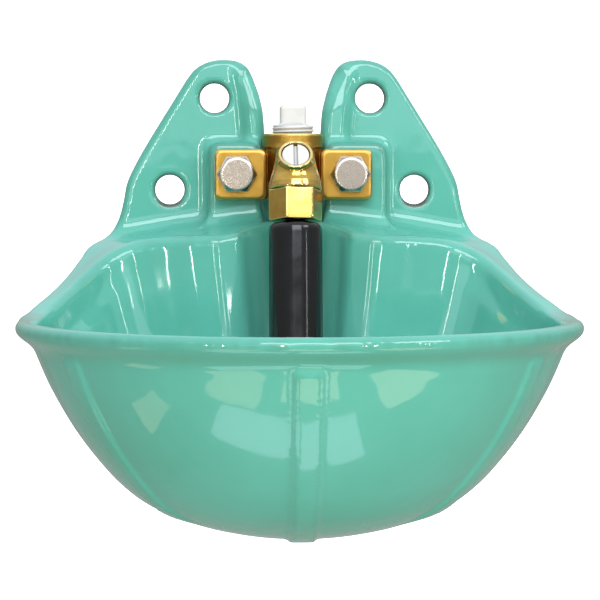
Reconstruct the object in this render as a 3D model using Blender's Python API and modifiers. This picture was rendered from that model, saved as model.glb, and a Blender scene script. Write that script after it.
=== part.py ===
"""Cast iron drinking bowl for livestock, with a tube valve, modelled at rest.

Frame: X to the viewer's right, Y into the wall, Z up. The wall is the plane Y = 0 and
the bowl stands in front of it, at negative Y. Z = 0 is midway between the two rows of
fixing holes, and X = 0 is the plane of symmetry. Lengths are in metres.
"""

import math

import bpy
from mathutils import Matrix, Vector

MM = 0.001
GAP = 0.3 * MM

# Back plate with its two ears.
PLATE_THICK = 8.0 * MM
HOLE_RADIUS = 7.25 * MM
HOLE_FLARE = 1.6 * MM
UPPER_HOLE = (38.3 * MM, 22.5 * MM)
LOWER_HOLE = (60.4 * MM, -22.5 * MM)
EAR_OUTLINE = (
    (14.9, 5.0), (15.2, 11.0), (16.3, 22.5), (18.9, 31.5), (22.0, 37.5), (26.0, 40.5),
    (31.5, 41.4), (38.4, 41.2), (44.9, 39.0), (50.0, 34.8), (58.5, 21.0), (68.5, 5.0),
    (74.5, -5.0), (79.3, -14.0), (81.8, -20.0), (82.9, -27.0), (84.9, -35.5), (87.5, -41.3),
)
PIPE_ROOM = 11.2 * MM
NOTCH_FOOT = -27.3 * MM
NOTCH_HALF = 15.2 * MM
PLATE_BOTTOM = -47.5 * MM

# Rim of the bowl, right half from the front round to the wall: x, y, z of its crest.
RIM_CREST = (
    (0.0, -242.5, -79.6), (127.5, -115.0, -79.6), (127.2, -85.0, -78.7), (121.6, -65.0, -74.2),
    (115.6, -50.0, -69.0), (109.8, -36.0, -62.6), (104.6, -22.0, -55.3), (100.6, -12.0, -49.6),
    (94.2, -4.0, -46.4), (88.5, 0.0, -44.8), (60.0, 0.0, -40.0), (30.0, 0.0, -36.5),
    (0.0, 0.0, -35.0),
)
# Top edge of the inside, from the front round to the groove: x, y, z.
INNER_CREST = (
    (0.0, -232.5, -80.2), (117.2, -115.0, -80.2), (115.0, -90.0, -79.0), (104.5, -66.0, -69.5),
    (93.0, -50.0, -58.0), (80.0, -44.0, -49.5), (64.0, -46.5, -45.5), (48.0, -51.5, -44.5),
    (36.0, -53.0, -44.0), (27.5, -49.5, -42.5), (20.5, -41.5, -40.0), (12.0, -36.0, -38.0),
    (0.0, -34.8, -37.4),
)
CENTRE_Y = -115.0 * MM
LAND_Y = -0.25 * MM
LIP_OVERHANG = 9.0 * MM
# Lip section: radial offset from the crest line and height below it, fading out behind.
LIP_SECTION = ((-4.6, -9.0), (-1.0, -5.8), (0.0, -3.4), (-0.9, -1.1), (-3.2, 0.0), (-5.9, 0.1))
UNDER_LIP = 14.4 * MM
# Outer wall at the widest section: radius and height, from the lip to the bottom.
OUTER_WALL = (
    (118.5, -94.0), (115.6, -101.0), (112.5, -108.0), (104.9, -122.0), (98.8, -131.5),
    (90.8, -142.0), (81.8, -152.0), (70.2, -161.4), (55.0, -169.0), (40.0, -174.0),
    (21.7, -177.7), (0.0, -178.8),
)
FLOOR_HEIGHT = -172.2 * MM
BACK_FULLNESS = 4.0
BACK_REACH = 1.1
INSIDE_FULLNESS = 3.2
CREST_ROUNDING = ((2.9, 0.9), (1.2, -1.1), (0.3, -3.2))

# Hollow behind the back wall, open to the wall and below: x, y and top height.
HOLLOW_PLAN = (
    (3.1, -28.7, -46.0), (9.0, -29.4, -46.0), (16.5, -34.6, -47.5), (23.5, -42.4, -49.5),
    (33.0, -46.3, -51.0), (48.0, -45.0, -51.5), (64.0, -40.0, -52.5), (80.0, -37.5, -56.5),
    (90.0, -37.0, -65.0), (97.0, -28.0, -66.0), (93.0, -14.0, -60.0), (81.3, -5.0, -54.0),
    (79.3, 5.0, -54.0), (40.0, 5.0, -52.0),
)
HOLLOW_THICKER = 3.0 * MM
HOLLOW_RINGS = 9
HOLLOW_MIDDLE = -14.0 * MM
HOLLOW_BELOW = -200.0 * MM
# The side walls behind end in a slanting foot: y and z of its two ends.
SKIRT_FOOT = ((-80.0, -180.0), (6.0, -129.5))
SKIRT_HALF = 110.0 * MM

# Raised ribs on the outside.
RIB_ANGLES = (0.0, 60.0, -60.0)
RIB_HALF_WIDTH = 6.5 * MM
RIB_PROUD = 1.3 * MM
RIB_ROOT = 2.0 * MM

# Pads that carry the valve flange, and the ridges that run up from them.
PAD_FACE = -20.0 * MM + GAP
PAD_INSIDE = 15.4 * MM
# The casting's pads are not quite alike: the right one reaches further out.
PAD_OUTSIDE = 46.0 * MM
PAD_SHORTER = 4.5 * MM
PAD_CORNER = 4.0 * MM
PAD_EDGE = 1.8 * MM
PAD_TOP = 0.5 * MM
PAD_FOOT = -38.0 * MM
RIDGE_PATH = ((20.3, -6.0), (20.3, 6.0), (21.2, 16.0), (23.4, 25.5), (27.2, 32.5))
RIDGE_HALF_WIDTH = 4.6 * MM
RIDGE_PROUD = 4.2 * MM

# Valve body: an upright tee with a flange, and a nose that leans forward.
TEE_Y = -17.0 * MM
TEE_RADIUS = 14.75 * MM
TEE_TOP = 4.8 * MM
TEE_FOOT = -26.9 * MM
PORT_RADIUS = 9.6 * MM
PORT_DEPTH = 11.5 * MM
TEE_EDGE = 0.8 * MM
TEE_CLEARANCE = 0.5 * MM
TEE_ROOM_FOOT = -39.6 * MM
PIPE_ROOM_TOP = -42.0 * MM
PIPE_ROOM_FOOT = -60.0 * MM
PIPE_FOOT = -90.0 * MM
PAST = 60.0 * MM
WATERWAY_RADIUS = 6.0 * MM
FLANGE_FRONT = -28.0 * MM
FLANGE_BACK = -20.0 * MM
FLANGE_HALF = 38.3 * MM
FLANGE_TOP = -2.7 * MM
FLANGE_FOOT = -27.4 * MM
BOLT_X = 27.5 * MM
BOLT_Z = -14.9 * MM
BOLT_HOLE = 5.5 * MM
LEAN = math.radians(9.5)
AXIS_POINT = Vector((0.0, -55.0, -29.75)) * MM
# Nose outside: distance up its axis from the middle of the nut, and radius.
NOSE_OUTSIDE = ((7.8, 12.4), (8.6, 12.8), (12.0, 12.5), (18.0, 11.2), (24.5, 9.7), (27.0, 8.0))
SPIGOT_FOOT = -1.5 * MM
SPIGOT_RADIUS = 8.7 * MM
CHAMBER_RADIUS = 6.7 * MM
CHAMBER_TOP = 15.0 * MM
THROAT_RADIUS = 3.5 * MM
THROAT_TOP = 19.0 * MM
BRIDGE_HALF = 9.2 * MM
BRIDGE_TOP = -1.5 * MM
BRIDGE_FOOT = -21.5 * MM
FEED_Z = -11.5 * MM

# Adjusting screw, which looks forward and up from the nose.
SCREW_PITCH_UP = math.radians(39.0)
SCREW_MEET = Vector((0.0, -52.0, -11.5)) * MM
SCREW_FACE = 10.0 * MM
BOSS_RADIUS = 8.5 * MM
COUNTERBORE_RADIUS = 6.85 * MM
COUNTERBORE_FLOOR = 4.4 * MM
SCREW_BORE = 4.4 * MM
SCREW_BORE_FLOOR = -0.8 * MM
SCREW_HEAD = 6.5 * MM
SCREW_HEAD_THICK = 3.6 * MM
SCREW_SHANK = 4.0 * MM
SCREW_TIP = 0.9 * MM
SCREW_SLOT = 1.9 * MM
SCREW_SLOT_DEPTH = 1.6 * MM
O_RING_AT = 3.1 * MM
O_RING_MEAN = 3.45 * MM
O_RING_SECTION = 0.6 * MM
O_RING_GROOVE = 2.5 * MM

# Union nut, gaskets and tube. Heights are along the leaning axis.
NUT_FLATS = 22.4 * MM
NUT_TURN = math.radians(8.6)
NUT_TOP = 7.5 * MM
NUT_FOOT = -7.5 * MM
NUT_LIP = 5.9 * MM
NUT_LIP_THICK = 1.2 * MM
GASKET_THICK = 1.2 * MM
SEAL_RING_THICK = 0.8 * MM
SEAL_RING_TOP = -4.75 * MM
SEAL_RING_RADIUS = 6.0 * MM
PIVOT = -4.4 * MM
HEAD_RADIUS = 6.4 * MM
HEAD_TOP = -3.15 * MM
HEAD_FOOT = -4.2 * MM
NECK_RADIUS = 5.0 * MM
TUBE_WATERWAY = 3.4 * MM
TUBE_RADIUS = 12.7 * MM
TUBE_BORE = 9.5 * MM
TUBE_END = -101.6 * MM
TUBE_ROOF = -17.0 * MM
# Shoulder of the tube: height along the axis and radius.
SHOULDER = ((-8.6, 6.0), (-9.1, 9.0), (-10.0, 10.8), (-11.2, 11.9), (-12.6, 12.5), (-14.2, 12.7))

# Valve inside the nose.
SEAT_FOOT = 0.5 * MM
SEAT_TOP = 4.0 * MM
SEAT_LIP = 4.6 * MM
SEAT_BORE = 3.6 * MM
SEAT_LIP_WIDTH = 0.9 * MM
STEM_RADIUS = 2.0 * MM
STEM_TOP = 11.4 * MM
FOOT_RADIUS = 5.6 * MM
FOOT_LOW = -2.6 * MM
FOOT_HIGH = -1.2 * MM
DISC_SEAL_RADIUS = 5.4 * MM
DISC_SEAL_THICK = 1.5 * MM
DISC_RADIUS = 5.7 * MM
DISC_THICK = 1.6 * MM
STEM_NUT_FLATS = 5.6 * MM
STEM_NUT_THICK = 1.8 * MM
SPRING_MEAN = 4.7 * MM
SPRING_WIRE = 0.35 * MM
SPRING_CURLS = 3.0
SPRING_POINTS = 10

# Bolts and top plug.
BOLT_FLATS = 17.0 * MM
BOLT_HEAD = 6.4 * MM
BOLT_SHANK = 4.7 * MM
BOLT_LENGTH = 26.0 * MM
PLUG_SQUARE = 13.0 * MM
PLUG_SQUARE_HIGH = 9.6 * MM
PLUG_COLLAR = 3.9 * MM
PLUG_COLLAR_RADIUS = 10.45 * MM
PLUG_THREAD_RADIUS = PORT_RADIUS - GAP
PLUG_THREAD_LONG = 9.5 * MM

STEPS = 36
FINE_STEPS = 52
OFF_TURN = math.radians(1.7)


def clear_scene():
    """Remove what the startup file holds."""
    for item in list(bpy.data.objects):
        bpy.data.objects.remove(item, do_unlink=True)


def new_collection(name, hidden=False):
    """Make a collection under the scene, hidden from renders if it holds cutters."""
    made = bpy.data.collections.new(name)
    bpy.context.scene.collection.children.link(made)
    made.hide_render = hidden
    return made


clear_scene()
PARTS = new_collection("cast_iron_drinking_bowl")
CUTTERS = new_collection("cutters", hidden=True)


def material(name, colour, metallic, roughness):
    """Make a Principled material."""
    made = bpy.data.materials.new(name)
    made.use_nodes = True
    shader = made.node_tree.nodes["Principled BSDF"]
    shader.inputs["Base Color"].default_value = (*colour, 1.0)
    shader.inputs["Metallic"].default_value = metallic
    shader.inputs["Roughness"].default_value = roughness
    return made


ENAMEL = material("enamelled_cast_iron", (0.15, 0.55, 0.45), 0.0, 0.15)
BRASS = material("forged_brass", (0.70, 0.45, 0.13), 1.0, 0.3)
STEEL = material("zinc_plated_steel", (0.60, 0.58, 0.56), 1.0, 0.3)
SPRING_STEEL = material("stainless_spring_steel", (0.50, 0.50, 0.50), 1.0, 0.25)
RUBBER = material("black_rubber", (0.02, 0.02, 0.02), 0.0, 0.7)
PLASTIC_BLACK = material("black_plastic", (0.015, 0.015, 0.015), 0.0, 0.2)
PLASTIC_WHITE = material("white_plastic", (0.85, 0.85, 0.84), 0.0, 0.4)


def add_object(name, points, faces, edges=(), look=None, place=None):
    """Make a mesh object. With a look it is a part, and without one it is a cutter."""
    mesh = bpy.data.meshes.new(name)
    mesh.from_pydata([tuple(p) for p in points], list(edges), list(faces))
    mesh.update()
    made = bpy.data.objects.new(name, mesh)
    if place is not None:
        made.matrix_world = place
    if look is None:
        CUTTERS.objects.link(made)
        made.hide_render = True
        made.display_type = "WIRE"
    else:
        PARTS.objects.link(made)
        mesh.materials.append(look)
    return made


def loft(name, rings, look=None, place=None):
    """Skin rings of equal length. A ring of one point makes a pole, and other ends are capped."""
    points = []
    starts = []
    for ring in rings:
        starts.append(len(points))
        points.extend(ring)
    faces = []
    for low in range(len(rings) - 1):
        count = max(len(rings[low]), len(rings[low + 1]))
        for i in range(count):
            j = (i + 1) % count
            here = starts[low]
            there = starts[low + 1]
            if len(rings[low]) == 1:
                faces.append((here, there + j, there + i))
            elif len(rings[low + 1]) == 1:
                faces.append((here + i, here + j, there))
            else:
                faces.append((here + i, here + j, there + j, there + i))
    if len(rings[0]) > 1:
        faces.append(tuple(reversed(range(len(rings[0])))))
    if len(rings[-1]) > 1:
        faces.append(tuple(starts[-1] + i for i in range(len(rings[-1]))))
    return add_object(name, points, faces, look=look, place=place)


def turned(name, profile, look=None, place=None, steps=STEPS, ring=False):
    """Turn a profile of (radius, height) about local Z.

    A solid profile runs top to bottom from the axis to the axis. A ring profile is a loop
    whose outer side runs top to bottom.
    """
    points = [(r, 0.0, z) for r, z in profile]
    edges = [(i, i + 1) for i in range(len(points) - 1)]
    if ring:
        edges.append((len(points) - 1, 0))
    made = add_object(name, points, (), edges, look, place)
    screw = made.modifiers.new("turn", "SCREW")
    screw.axis = "Z"
    screw.angle = math.tau
    screw.steps = steps
    screw.render_steps = steps
    screw.use_merge_vertices = True
    screw.merge_threshold = 0.00001
    screw.use_smooth_shade = False
    if not ring:
        flat = made.modifiers.new("flat_ends", "DECIMATE")
        flat.decimate_type = "DISSOLVE"
        flat.angle_limit = math.radians(0.05)
    return made


def slab(name, outline, thick, look=None, place=None, edge=0.0, segments=2):
    """Extrude an outline in local XY down from Z = 0 by thick, with its edges rounded."""
    made = add_object(
        name, [(x, y, 0.0) for x, y in outline], [tuple(range(len(outline)))], (), look, place
    )
    solid = made.modifiers.new("thickness", "SOLIDIFY")
    solid.thickness = thick
    solid.offset = -1.0
    if edge:
        bevel = made.modifiers.new("edges", "BEVEL")
        bevel.width = edge
        bevel.segments = segments
        bevel.limit_method = "ANGLE"
        bevel.angle_limit = math.radians(35.0)
    return made


def boolean(target, other, operation):
    """Add an exact Boolean of the other object to the target."""
    step = target.modifiers.new(operation.lower() + "_" + other.name, "BOOLEAN")
    step.solver = "EXACT"
    step.operation = operation
    step.object = other


def weld(target):
    """Close the slivers that the Booleans leave."""
    step = target.modifiers.new("weld", "WELD")
    step.merge_threshold = 0.00003


def cut(target, *others):
    """Take the other objects from the target."""
    for other in others:
        boolean(target, other, "DIFFERENCE")


def unite(target, *others):
    """Add the other objects to the target."""
    for other in others:
        boolean(target, other, "UNION")


def placed(where, tilt=0.0, turn=0.0):
    """A placement at a point, tipped about X after a turn about local Z."""
    return (
        Matrix.Translation(where) @ Matrix.Rotation(tilt, 4, "X") @ Matrix.Rotation(turn, 4, "Z")
    )


def on_axis(height):
    """The point of the leaning valve axis at this height above the middle of the nut."""
    up = Vector((0.0, math.sin(LEAN), math.cos(LEAN)))
    return AXIS_POINT + up * height


def smooth(pairs):
    """A monotone cubic through (x, y) pairs, as a function of x."""
    xs = [p[0] for p in pairs]
    ys = [p[1] for p in pairs]
    steps = [(ys[i + 1] - ys[i]) / (xs[i + 1] - xs[i]) for i in range(len(xs) - 1)]
    slopes = [0.0]
    for before, after in zip(steps, steps[1:]):
        same_way = before * after > 0.0
        slopes.append(2.0 * before * after / (before + after) if same_way else 0.0)
    slopes.append(0.0)

    def value(x):
        x = min(max(x, xs[0]), xs[-1])
        i = 0
        while i < len(xs) - 2 and x > xs[i + 1]:
            i += 1
        wide = xs[i + 1] - xs[i]
        t = (x - xs[i]) / wide
        return (
            (2 * t**3 - 3 * t**2 + 1) * ys[i]
            + (t**3 - 2 * t**2 + t) * wide * slopes[i]
            + (3 * t**2 - 2 * t**3) * ys[i + 1]
            + (t**3 - t**2) * wide * slopes[i + 1]
        )

    return value


def by_angle(crest):
    """Two functions of the angle from the front, for the radius and the height of a crest."""
    radius = []
    height = []
    for x, y, z in crest:
        ahead = CENTRE_Y - y * MM
        angle = math.atan2(x * MM, ahead)
        radius.append((angle, math.hypot(x * MM, ahead)))
        height.append((angle, z * MM))
    return smooth(radius), smooth(height)


RIM_RADIUS, RIM_HEIGHT = by_angle(RIM_CREST)
INNER_RADIUS, INNER_HEIGHT = by_angle(INNER_CREST)
LIP_FADE = smooth([(math.radians(116.0), 1.0), (math.radians(139.0), 0.0)])
WALL_FRACTIONS = [
    (r / OUTER_WALL[0][0], (z - OUTER_WALL[0][1]) / (OUTER_WALL[-1][1] - OUTER_WALL[0][1]))
    for r, z in OUTER_WALL
]


def half_angles(shift):
    """Angles of the right half, closer together behind where the plan has its groove."""
    front = [math.radians(5.0 * (i + shift)) for i in range(23)]
    behind = [math.radians(113.0 + 3.35 * (i + shift)) for i in range(20)]
    return front + behind


ANGLES = half_angles(0.0) + [math.pi] + [-a for a in reversed(half_angles(0.0)[1:])]
# The inside has its points between those of the outside, so that no edges meet end on.
INSIDE_ANGLES = half_angles(0.45) + [-a for a in reversed(half_angles(0.45))]


def plan_point(angle, radius, across, along):
    """A point of the plan, scaled across and along from the bowl's middle."""
    x = math.sin(angle) * radius * across
    y = CENTRE_Y - math.cos(angle) * radius * along
    return x, y


def outer_ring(index):
    """A ring of the outside below the lip."""
    across, depth = WALL_FRACTIONS[index]
    fuller = min(1.0, BACK_REACH * (1.0 - depth**BACK_FULLNESS) ** 0.5)
    ring = []
    for signed in ANGLES:
        angle = abs(signed)
        fade = LIP_FADE(angle)
        radius = RIM_RADIUS(angle) - LIP_OVERHANG * fade
        start = RIM_HEIGHT(angle) - UNDER_LIP * (0.55 + 0.45 * fade)
        along = across if angle < math.pi / 2 else fuller
        x, y = plan_point(signed, radius, across, along)
        z = start + (OUTER_WALL[-1][1] * MM - start) * depth
        ring.append((x, min(y, LAND_Y), z))
    return ring


def lip_ring(offset, below):
    """A ring of the rolled lip."""
    ring = []
    for signed in ANGLES:
        angle = abs(signed)
        fade = LIP_FADE(angle)
        x, y = plan_point(signed, RIM_RADIUS(angle) + offset * MM * fade, 1.0, 1.0)
        z = RIM_HEIGHT(angle) + below * MM * (0.45 + 0.55 * fade)
        ring.append((x, min(y, LAND_Y), z))
    return ring


def deck_ring(share):
    """A ring across the top surface, from the rim at share 0 to the inner crest at share 1."""
    ring = []
    for signed in ANGLES:
        angle = abs(signed)
        fade = LIP_FADE(angle)
        rim = RIM_RADIUS(angle) + LIP_SECTION[-1][0] * MM * fade
        radius = rim + (INNER_RADIUS(angle) - 1.5 * MM - rim) * share
        height = RIM_HEIGHT(angle)
        crown = 0.1 * MM * fade
        z = height + crown + (INNER_HEIGHT(angle) + 0.3 * MM - height) * share
        x, y = plan_point(signed, radius, 1.0, 1.0)
        ring.append((x, min(y, LAND_Y), z))
    return ring


def bowl_outside():
    """The bowl as a solid block, without its inside."""
    rings = [[(0.0, CENTRE_Y, OUTER_WALL[-1][1] * MM)]]
    rings += [outer_ring(i) for i in reversed(range(len(OUTER_WALL) - 1))]
    rings += [lip_ring(offset, below) for offset, below in LIP_SECTION]
    rings += [deck_ring(0.5), deck_ring(1.0)]
    rings.append([(0.0, CENTRE_Y + 20.0 * MM, -62.0 * MM)])
    return loft("bowl_casting", rings, look=ENAMEL)


def inside_point(signed, index):
    """A point of the inside wall."""
    across, depth = WALL_FRACTIONS[index]
    angle = abs(signed)
    fuller = (1.0 - depth**INSIDE_FULLNESS) ** 0.5
    shrink = 1.0 - (4.6 * MM / INNER_RADIUS(angle)) * LIP_FADE(angle) * min(1.0, depth * 6.0 + 0.55)
    along = across * shrink if angle < math.pi / 2 else fuller
    start = INNER_HEIGHT(angle) - 4.5 * MM - 9.0 * MM * LIP_FADE(angle)
    x, y = plan_point(signed, INNER_RADIUS(angle), across * shrink, along)
    return x, y, start + (FLOOR_HEIGHT - start) * depth


def bowl_inside():
    """The space inside the bowl, as a cutter that goes on up above the crest."""
    rings = [[(0.0, CENTRE_Y, FLOOR_HEIGHT)]]
    rings += [
        [inside_point(a, i) for a in INSIDE_ANGLES] for i in reversed(range(len(OUTER_WALL) - 1))
    ]
    for outward, up in reversed(CREST_ROUNDING):
        ring = []
        for a in INSIDE_ANGLES:
            x, y = plan_point(a, INNER_RADIUS(abs(a)) + outward * MM, 1.0, 1.0)
            ring.append((x, y, INNER_HEIGHT(abs(a)) + up * MM))
        rings.append(ring)
    rings.append([(x, y, z + 50.0 * MM) for x, y, z in rings[-1]])
    rings.append([(0.0, CENTRE_Y, 60.0 * MM)])
    return loft("cut_inside", rings)


def hollow_behind():
    """The space behind the back wall, open to the wall and below."""
    loop = list(HOLLOW_PLAN)
    loop += [(-x, y, z) for x, y, z in reversed(HOLLOW_PLAN)]
    rings = []
    for index in range(HOLLOW_RINGS):
        across, depth = WALL_FRACTIONS[index]
        fuller = (1.0 - depth**INSIDE_FULLNESS) ** 0.5
        ring = []
        for x, y, top in loop:
            ahead = (y * MM - CENTRE_Y) * fuller + HOLLOW_THICKER * depth
            back = y * MM if y > 0.0 else CENTRE_Y + ahead
            ring.append((x * MM * across, back, top * MM + (FLOOR_HEIGHT - top * MM) * depth))
        rings.append(ring)
    rings.append([(x, y, HOLLOW_BELOW) for x, y, z in rings[-1]])
    rings.insert(0, [(0.7 * MM, HOLLOW_MIDDLE, HOLLOW_PLAN[0][2] * MM)])
    rings.append([(0.7 * MM, HOLLOW_MIDDLE, HOLLOW_BELOW)])
    return loft("cut_hollow", rings[::-1])


def below_skirts():
    """A wedge that trims the side walls behind to a slanting foot."""
    (front, low), (back, high) = SKIRT_FOOT
    wedge = ((front * MM, low * MM), (back * MM, high * MM), (back * MM, HOLLOW_BELOW))
    rings = [[(x, y, z) for y, z in wedge] for x in (SKIRT_HALF, -SKIRT_HALF)]
    return loft("cut_below_skirts", rings)


def inset(outline, amount):
    """Move a closed outline inwards. It runs anticlockwise."""
    moved = []
    count = len(outline)
    for i in range(count):
        ax, ay = outline[i - 1]
        bx, by = outline[i]
        cx, cy = outline[(i + 1) % count]
        before = Vector((bx - ax, by - ay)).normalized()
        after = Vector((cx - bx, cy - by)).normalized()
        along = (before + after).normalized()
        moved.append((bx - along.y * amount, by + along.x * amount))
    return moved


def plate():
    """The back plate with two ears, as a loft from the wall to its rounded front."""
    right = [(0.0, NOTCH_FOOT), (9.0 * MM, NOTCH_FOOT), (NOTCH_HALF - 1.2 * MM, NOTCH_FOOT + 1.4 * MM)]
    right += [(NOTCH_HALF, NOTCH_FOOT + 5.0 * MM), (NOTCH_HALF - 0.4 * MM, -14.0 * MM)]
    right += [(x * MM, z * MM) for x, z in EAR_OUTLINE]
    right.append((88.0 * MM, PLATE_BOTTOM))
    left = [(-x, z) for x, z in reversed(right[1:])]
    outline = left + right
    # Seen from the front the outline runs clockwise, so it is turned round first.
    outline = outline[::-1]
    rings = []
    for y, step in ((0.0, 0.0), (-5.4, 0.0), (-6.9, 0.45), (-7.8, 1.4), (-8.0, 2.3)):
        rings.append([(x, y * MM, z) for x, z in inset(outline, step * MM)])
    return loft("join_plate", rings)


def rib(number, angle_degrees):
    """A raised strip that follows the outside from the lip to the bottom."""
    rings = []
    turn = Matrix.Rotation(math.radians(angle_degrees), 3, "Z")
    wall = list(zip(OUTER_WALL, OUTER_WALL[1:]))[:-1]
    for index, (before, after) in enumerate(wall):
        radius = 0.45 * before[0] + 0.55 * after[0]
        height = 0.45 * before[1] + 0.55 * after[1]
        run = Vector((after[0] - before[0], after[1] - before[1])).normalized()
        normal = Vector((-run.y, run.x))
        tail = 1.0 if index < len(wall) - 1 else 0.5
        ring = []
        for side, lift in ((-1.0, -1.5), (-0.92, 0.25), (-0.6, 1.0), (0.6, 1.0), (0.92, 0.25), (1.0, -1.5)):
            high = RIB_PROUD * lift if lift > 0.0 else -RIB_ROOT
            out = radius * MM + normal.x * high
            up = height * MM + normal.y * high
            point = turn @ Vector((side * RIB_HALF_WIDTH * tail, -out, up))
            ring.append((point.x, point.y + CENTRE_Y, point.z))
        rings.append(ring)
    return loft("join_rib_%d" % number, rings)


def pad(side):
    """The pad behind one half of the flange."""
    outside = PAD_OUTSIDE if side > 0 else PAD_OUTSIDE - PAD_SHORTER
    outline = (
        (PAD_INSIDE, PAD_FOOT), (outside, PAD_FOOT), (outside, PAD_TOP - PAD_CORNER),
        (outside - PAD_CORNER, PAD_TOP), (PAD_INSIDE, PAD_TOP),
    )
    outline = [(side * x, z) for x, z in outline]
    if side < 0:
        outline = outline[::-1]
    # The slab's top looks along minus Y, so its outline is given with Z upwards.
    where = Matrix.Translation((0.0, PAD_FACE, 0.0)) @ Matrix.Rotation(math.pi / 2, 4, "X")
    name = "join_pad_right" if side > 0 else "join_pad_left"
    return slab(name, outline, -PAD_FACE - 0.5 * PLATE_THICK, place=where, edge=PAD_EDGE)


def ridge(side):
    """The ridge along the notch, from the pad up into the ear."""
    rings = []
    count = len(RIDGE_PATH)
    for index, (x, z) in enumerate(RIDGE_PATH):
        before = RIDGE_PATH[max(index - 1, 0)]
        after = RIDGE_PATH[min(index + 1, count - 1)]
        run = Vector((after[0] - before[0], after[1] - before[1])).normalized()
        size = (1.0, 1.0, 0.85, 0.6, 0.25)[index]
        ring = []
        for across, out in ((1.0, -3.0), (0.9, 0.4), (0.45, 1.0), (-0.45, 1.0), (-0.9, 0.4), (-1.0, -3.0)):
            px = x * MM + run.y * across * RIDGE_HALF_WIDTH * (0.5 + 0.5 * size)
            pz = z * MM - run.x * across * RIDGE_HALF_WIDTH * (0.5 + 0.5 * size)
            deep = RIDGE_PROUD * size * out if out > 0.0 else -3.0 * MM
            ring.append((side * px, -PLATE_THICK - deep, pz))
        rings.append(ring if side > 0 else ring[::-1])
    return loft("join_ridge_right" if side > 0 else "join_ridge_left", rings)


def post(name, radius, bottom, top, where, tilt=0.0, steps=STEPS, turn=OFF_TURN):
    """A plain round cutter along local Z, turned a little so that no edges meet end on."""
    profile = ((0.0, top), (radius, top), (radius, bottom), (0.0, bottom))
    return turned(name, profile, place=placed(where, tilt, turn), steps=steps)


def box(name, low, high):
    """A cutter box between two corners."""
    outline = ((low[0], low[1]), (high[0], low[1]), (high[0], high[1]), (low[0], high[1]))
    return slab(name, outline, high[2] - low[2], place=Matrix.Translation((0.0, 0.0, high[2])))


def fixing_hole(name, x, z):
    """A through hole in the plate with a flared mouth."""
    wide = HOLE_RADIUS + HOLE_FLARE
    profile = (
        (0.0, PLATE_THICK + 2.0 * MM), (wide + 2.0 * MM, PLATE_THICK + 2.0 * MM),
        (wide, PLATE_THICK), (HOLE_RADIUS, PLATE_THICK - HOLE_FLARE),
        (HOLE_RADIUS, -2.0 * MM), (0.0, -2.0 * MM),
    )
    return turned(name, profile, place=placed((x, 0.0, z), math.pi / 2), steps=32)


def bowl_casting():
    """The enamelled casting."""
    casting = bowl_outside()
    unite(casting, plate())
    for number, angle in enumerate(RIB_ANGLES):
        unite(casting, rib(number, angle))
    unite(casting, pad(1), pad(-1), ridge(1), ridge(-1))
    cut(casting, bowl_inside(), hollow_behind(), below_skirts())
    around_tee = TEE_RADIUS + TEE_CLEARANCE
    cut(casting, post("cut_tee_room", around_tee, TEE_ROOM_FOOT, PAST, (0.0, TEE_Y, 0.0)))
    low = (-PIPE_ROOM, TEE_Y - 2.0 * MM, PIPE_ROOM_FOOT)
    cut(casting, box("cut_pipe_room", low, (PIPE_ROOM, PLATE_THICK, PIPE_ROOM_TOP)))
    cut(casting, post("cut_pipe", PIPE_ROOM, PIPE_FOOT, TEE_ROOM_FOOT + 6.0 * MM, (0.0, TEE_Y, 0.0)))
    for name, (x, z) in (("upper", UPPER_HOLE), ("lower", LOWER_HOLE)):
        cut(casting, fixing_hole("cut_hole_right_" + name, x, z))
        cut(casting, fixing_hole("cut_hole_left_" + name, -x, z))
    for name, x in (("right", BOLT_X), ("left", -BOLT_X)):
        hole = post(
            "cut_bolt_" + name, BOLT_SHANK + GAP, -2.0 * MM, 30.0 * MM,
            (x, 0.0, BOLT_Z), math.pi / 2, 32,
        )
        cut(casting, hole)
    weld(casting)
    return casting


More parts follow.
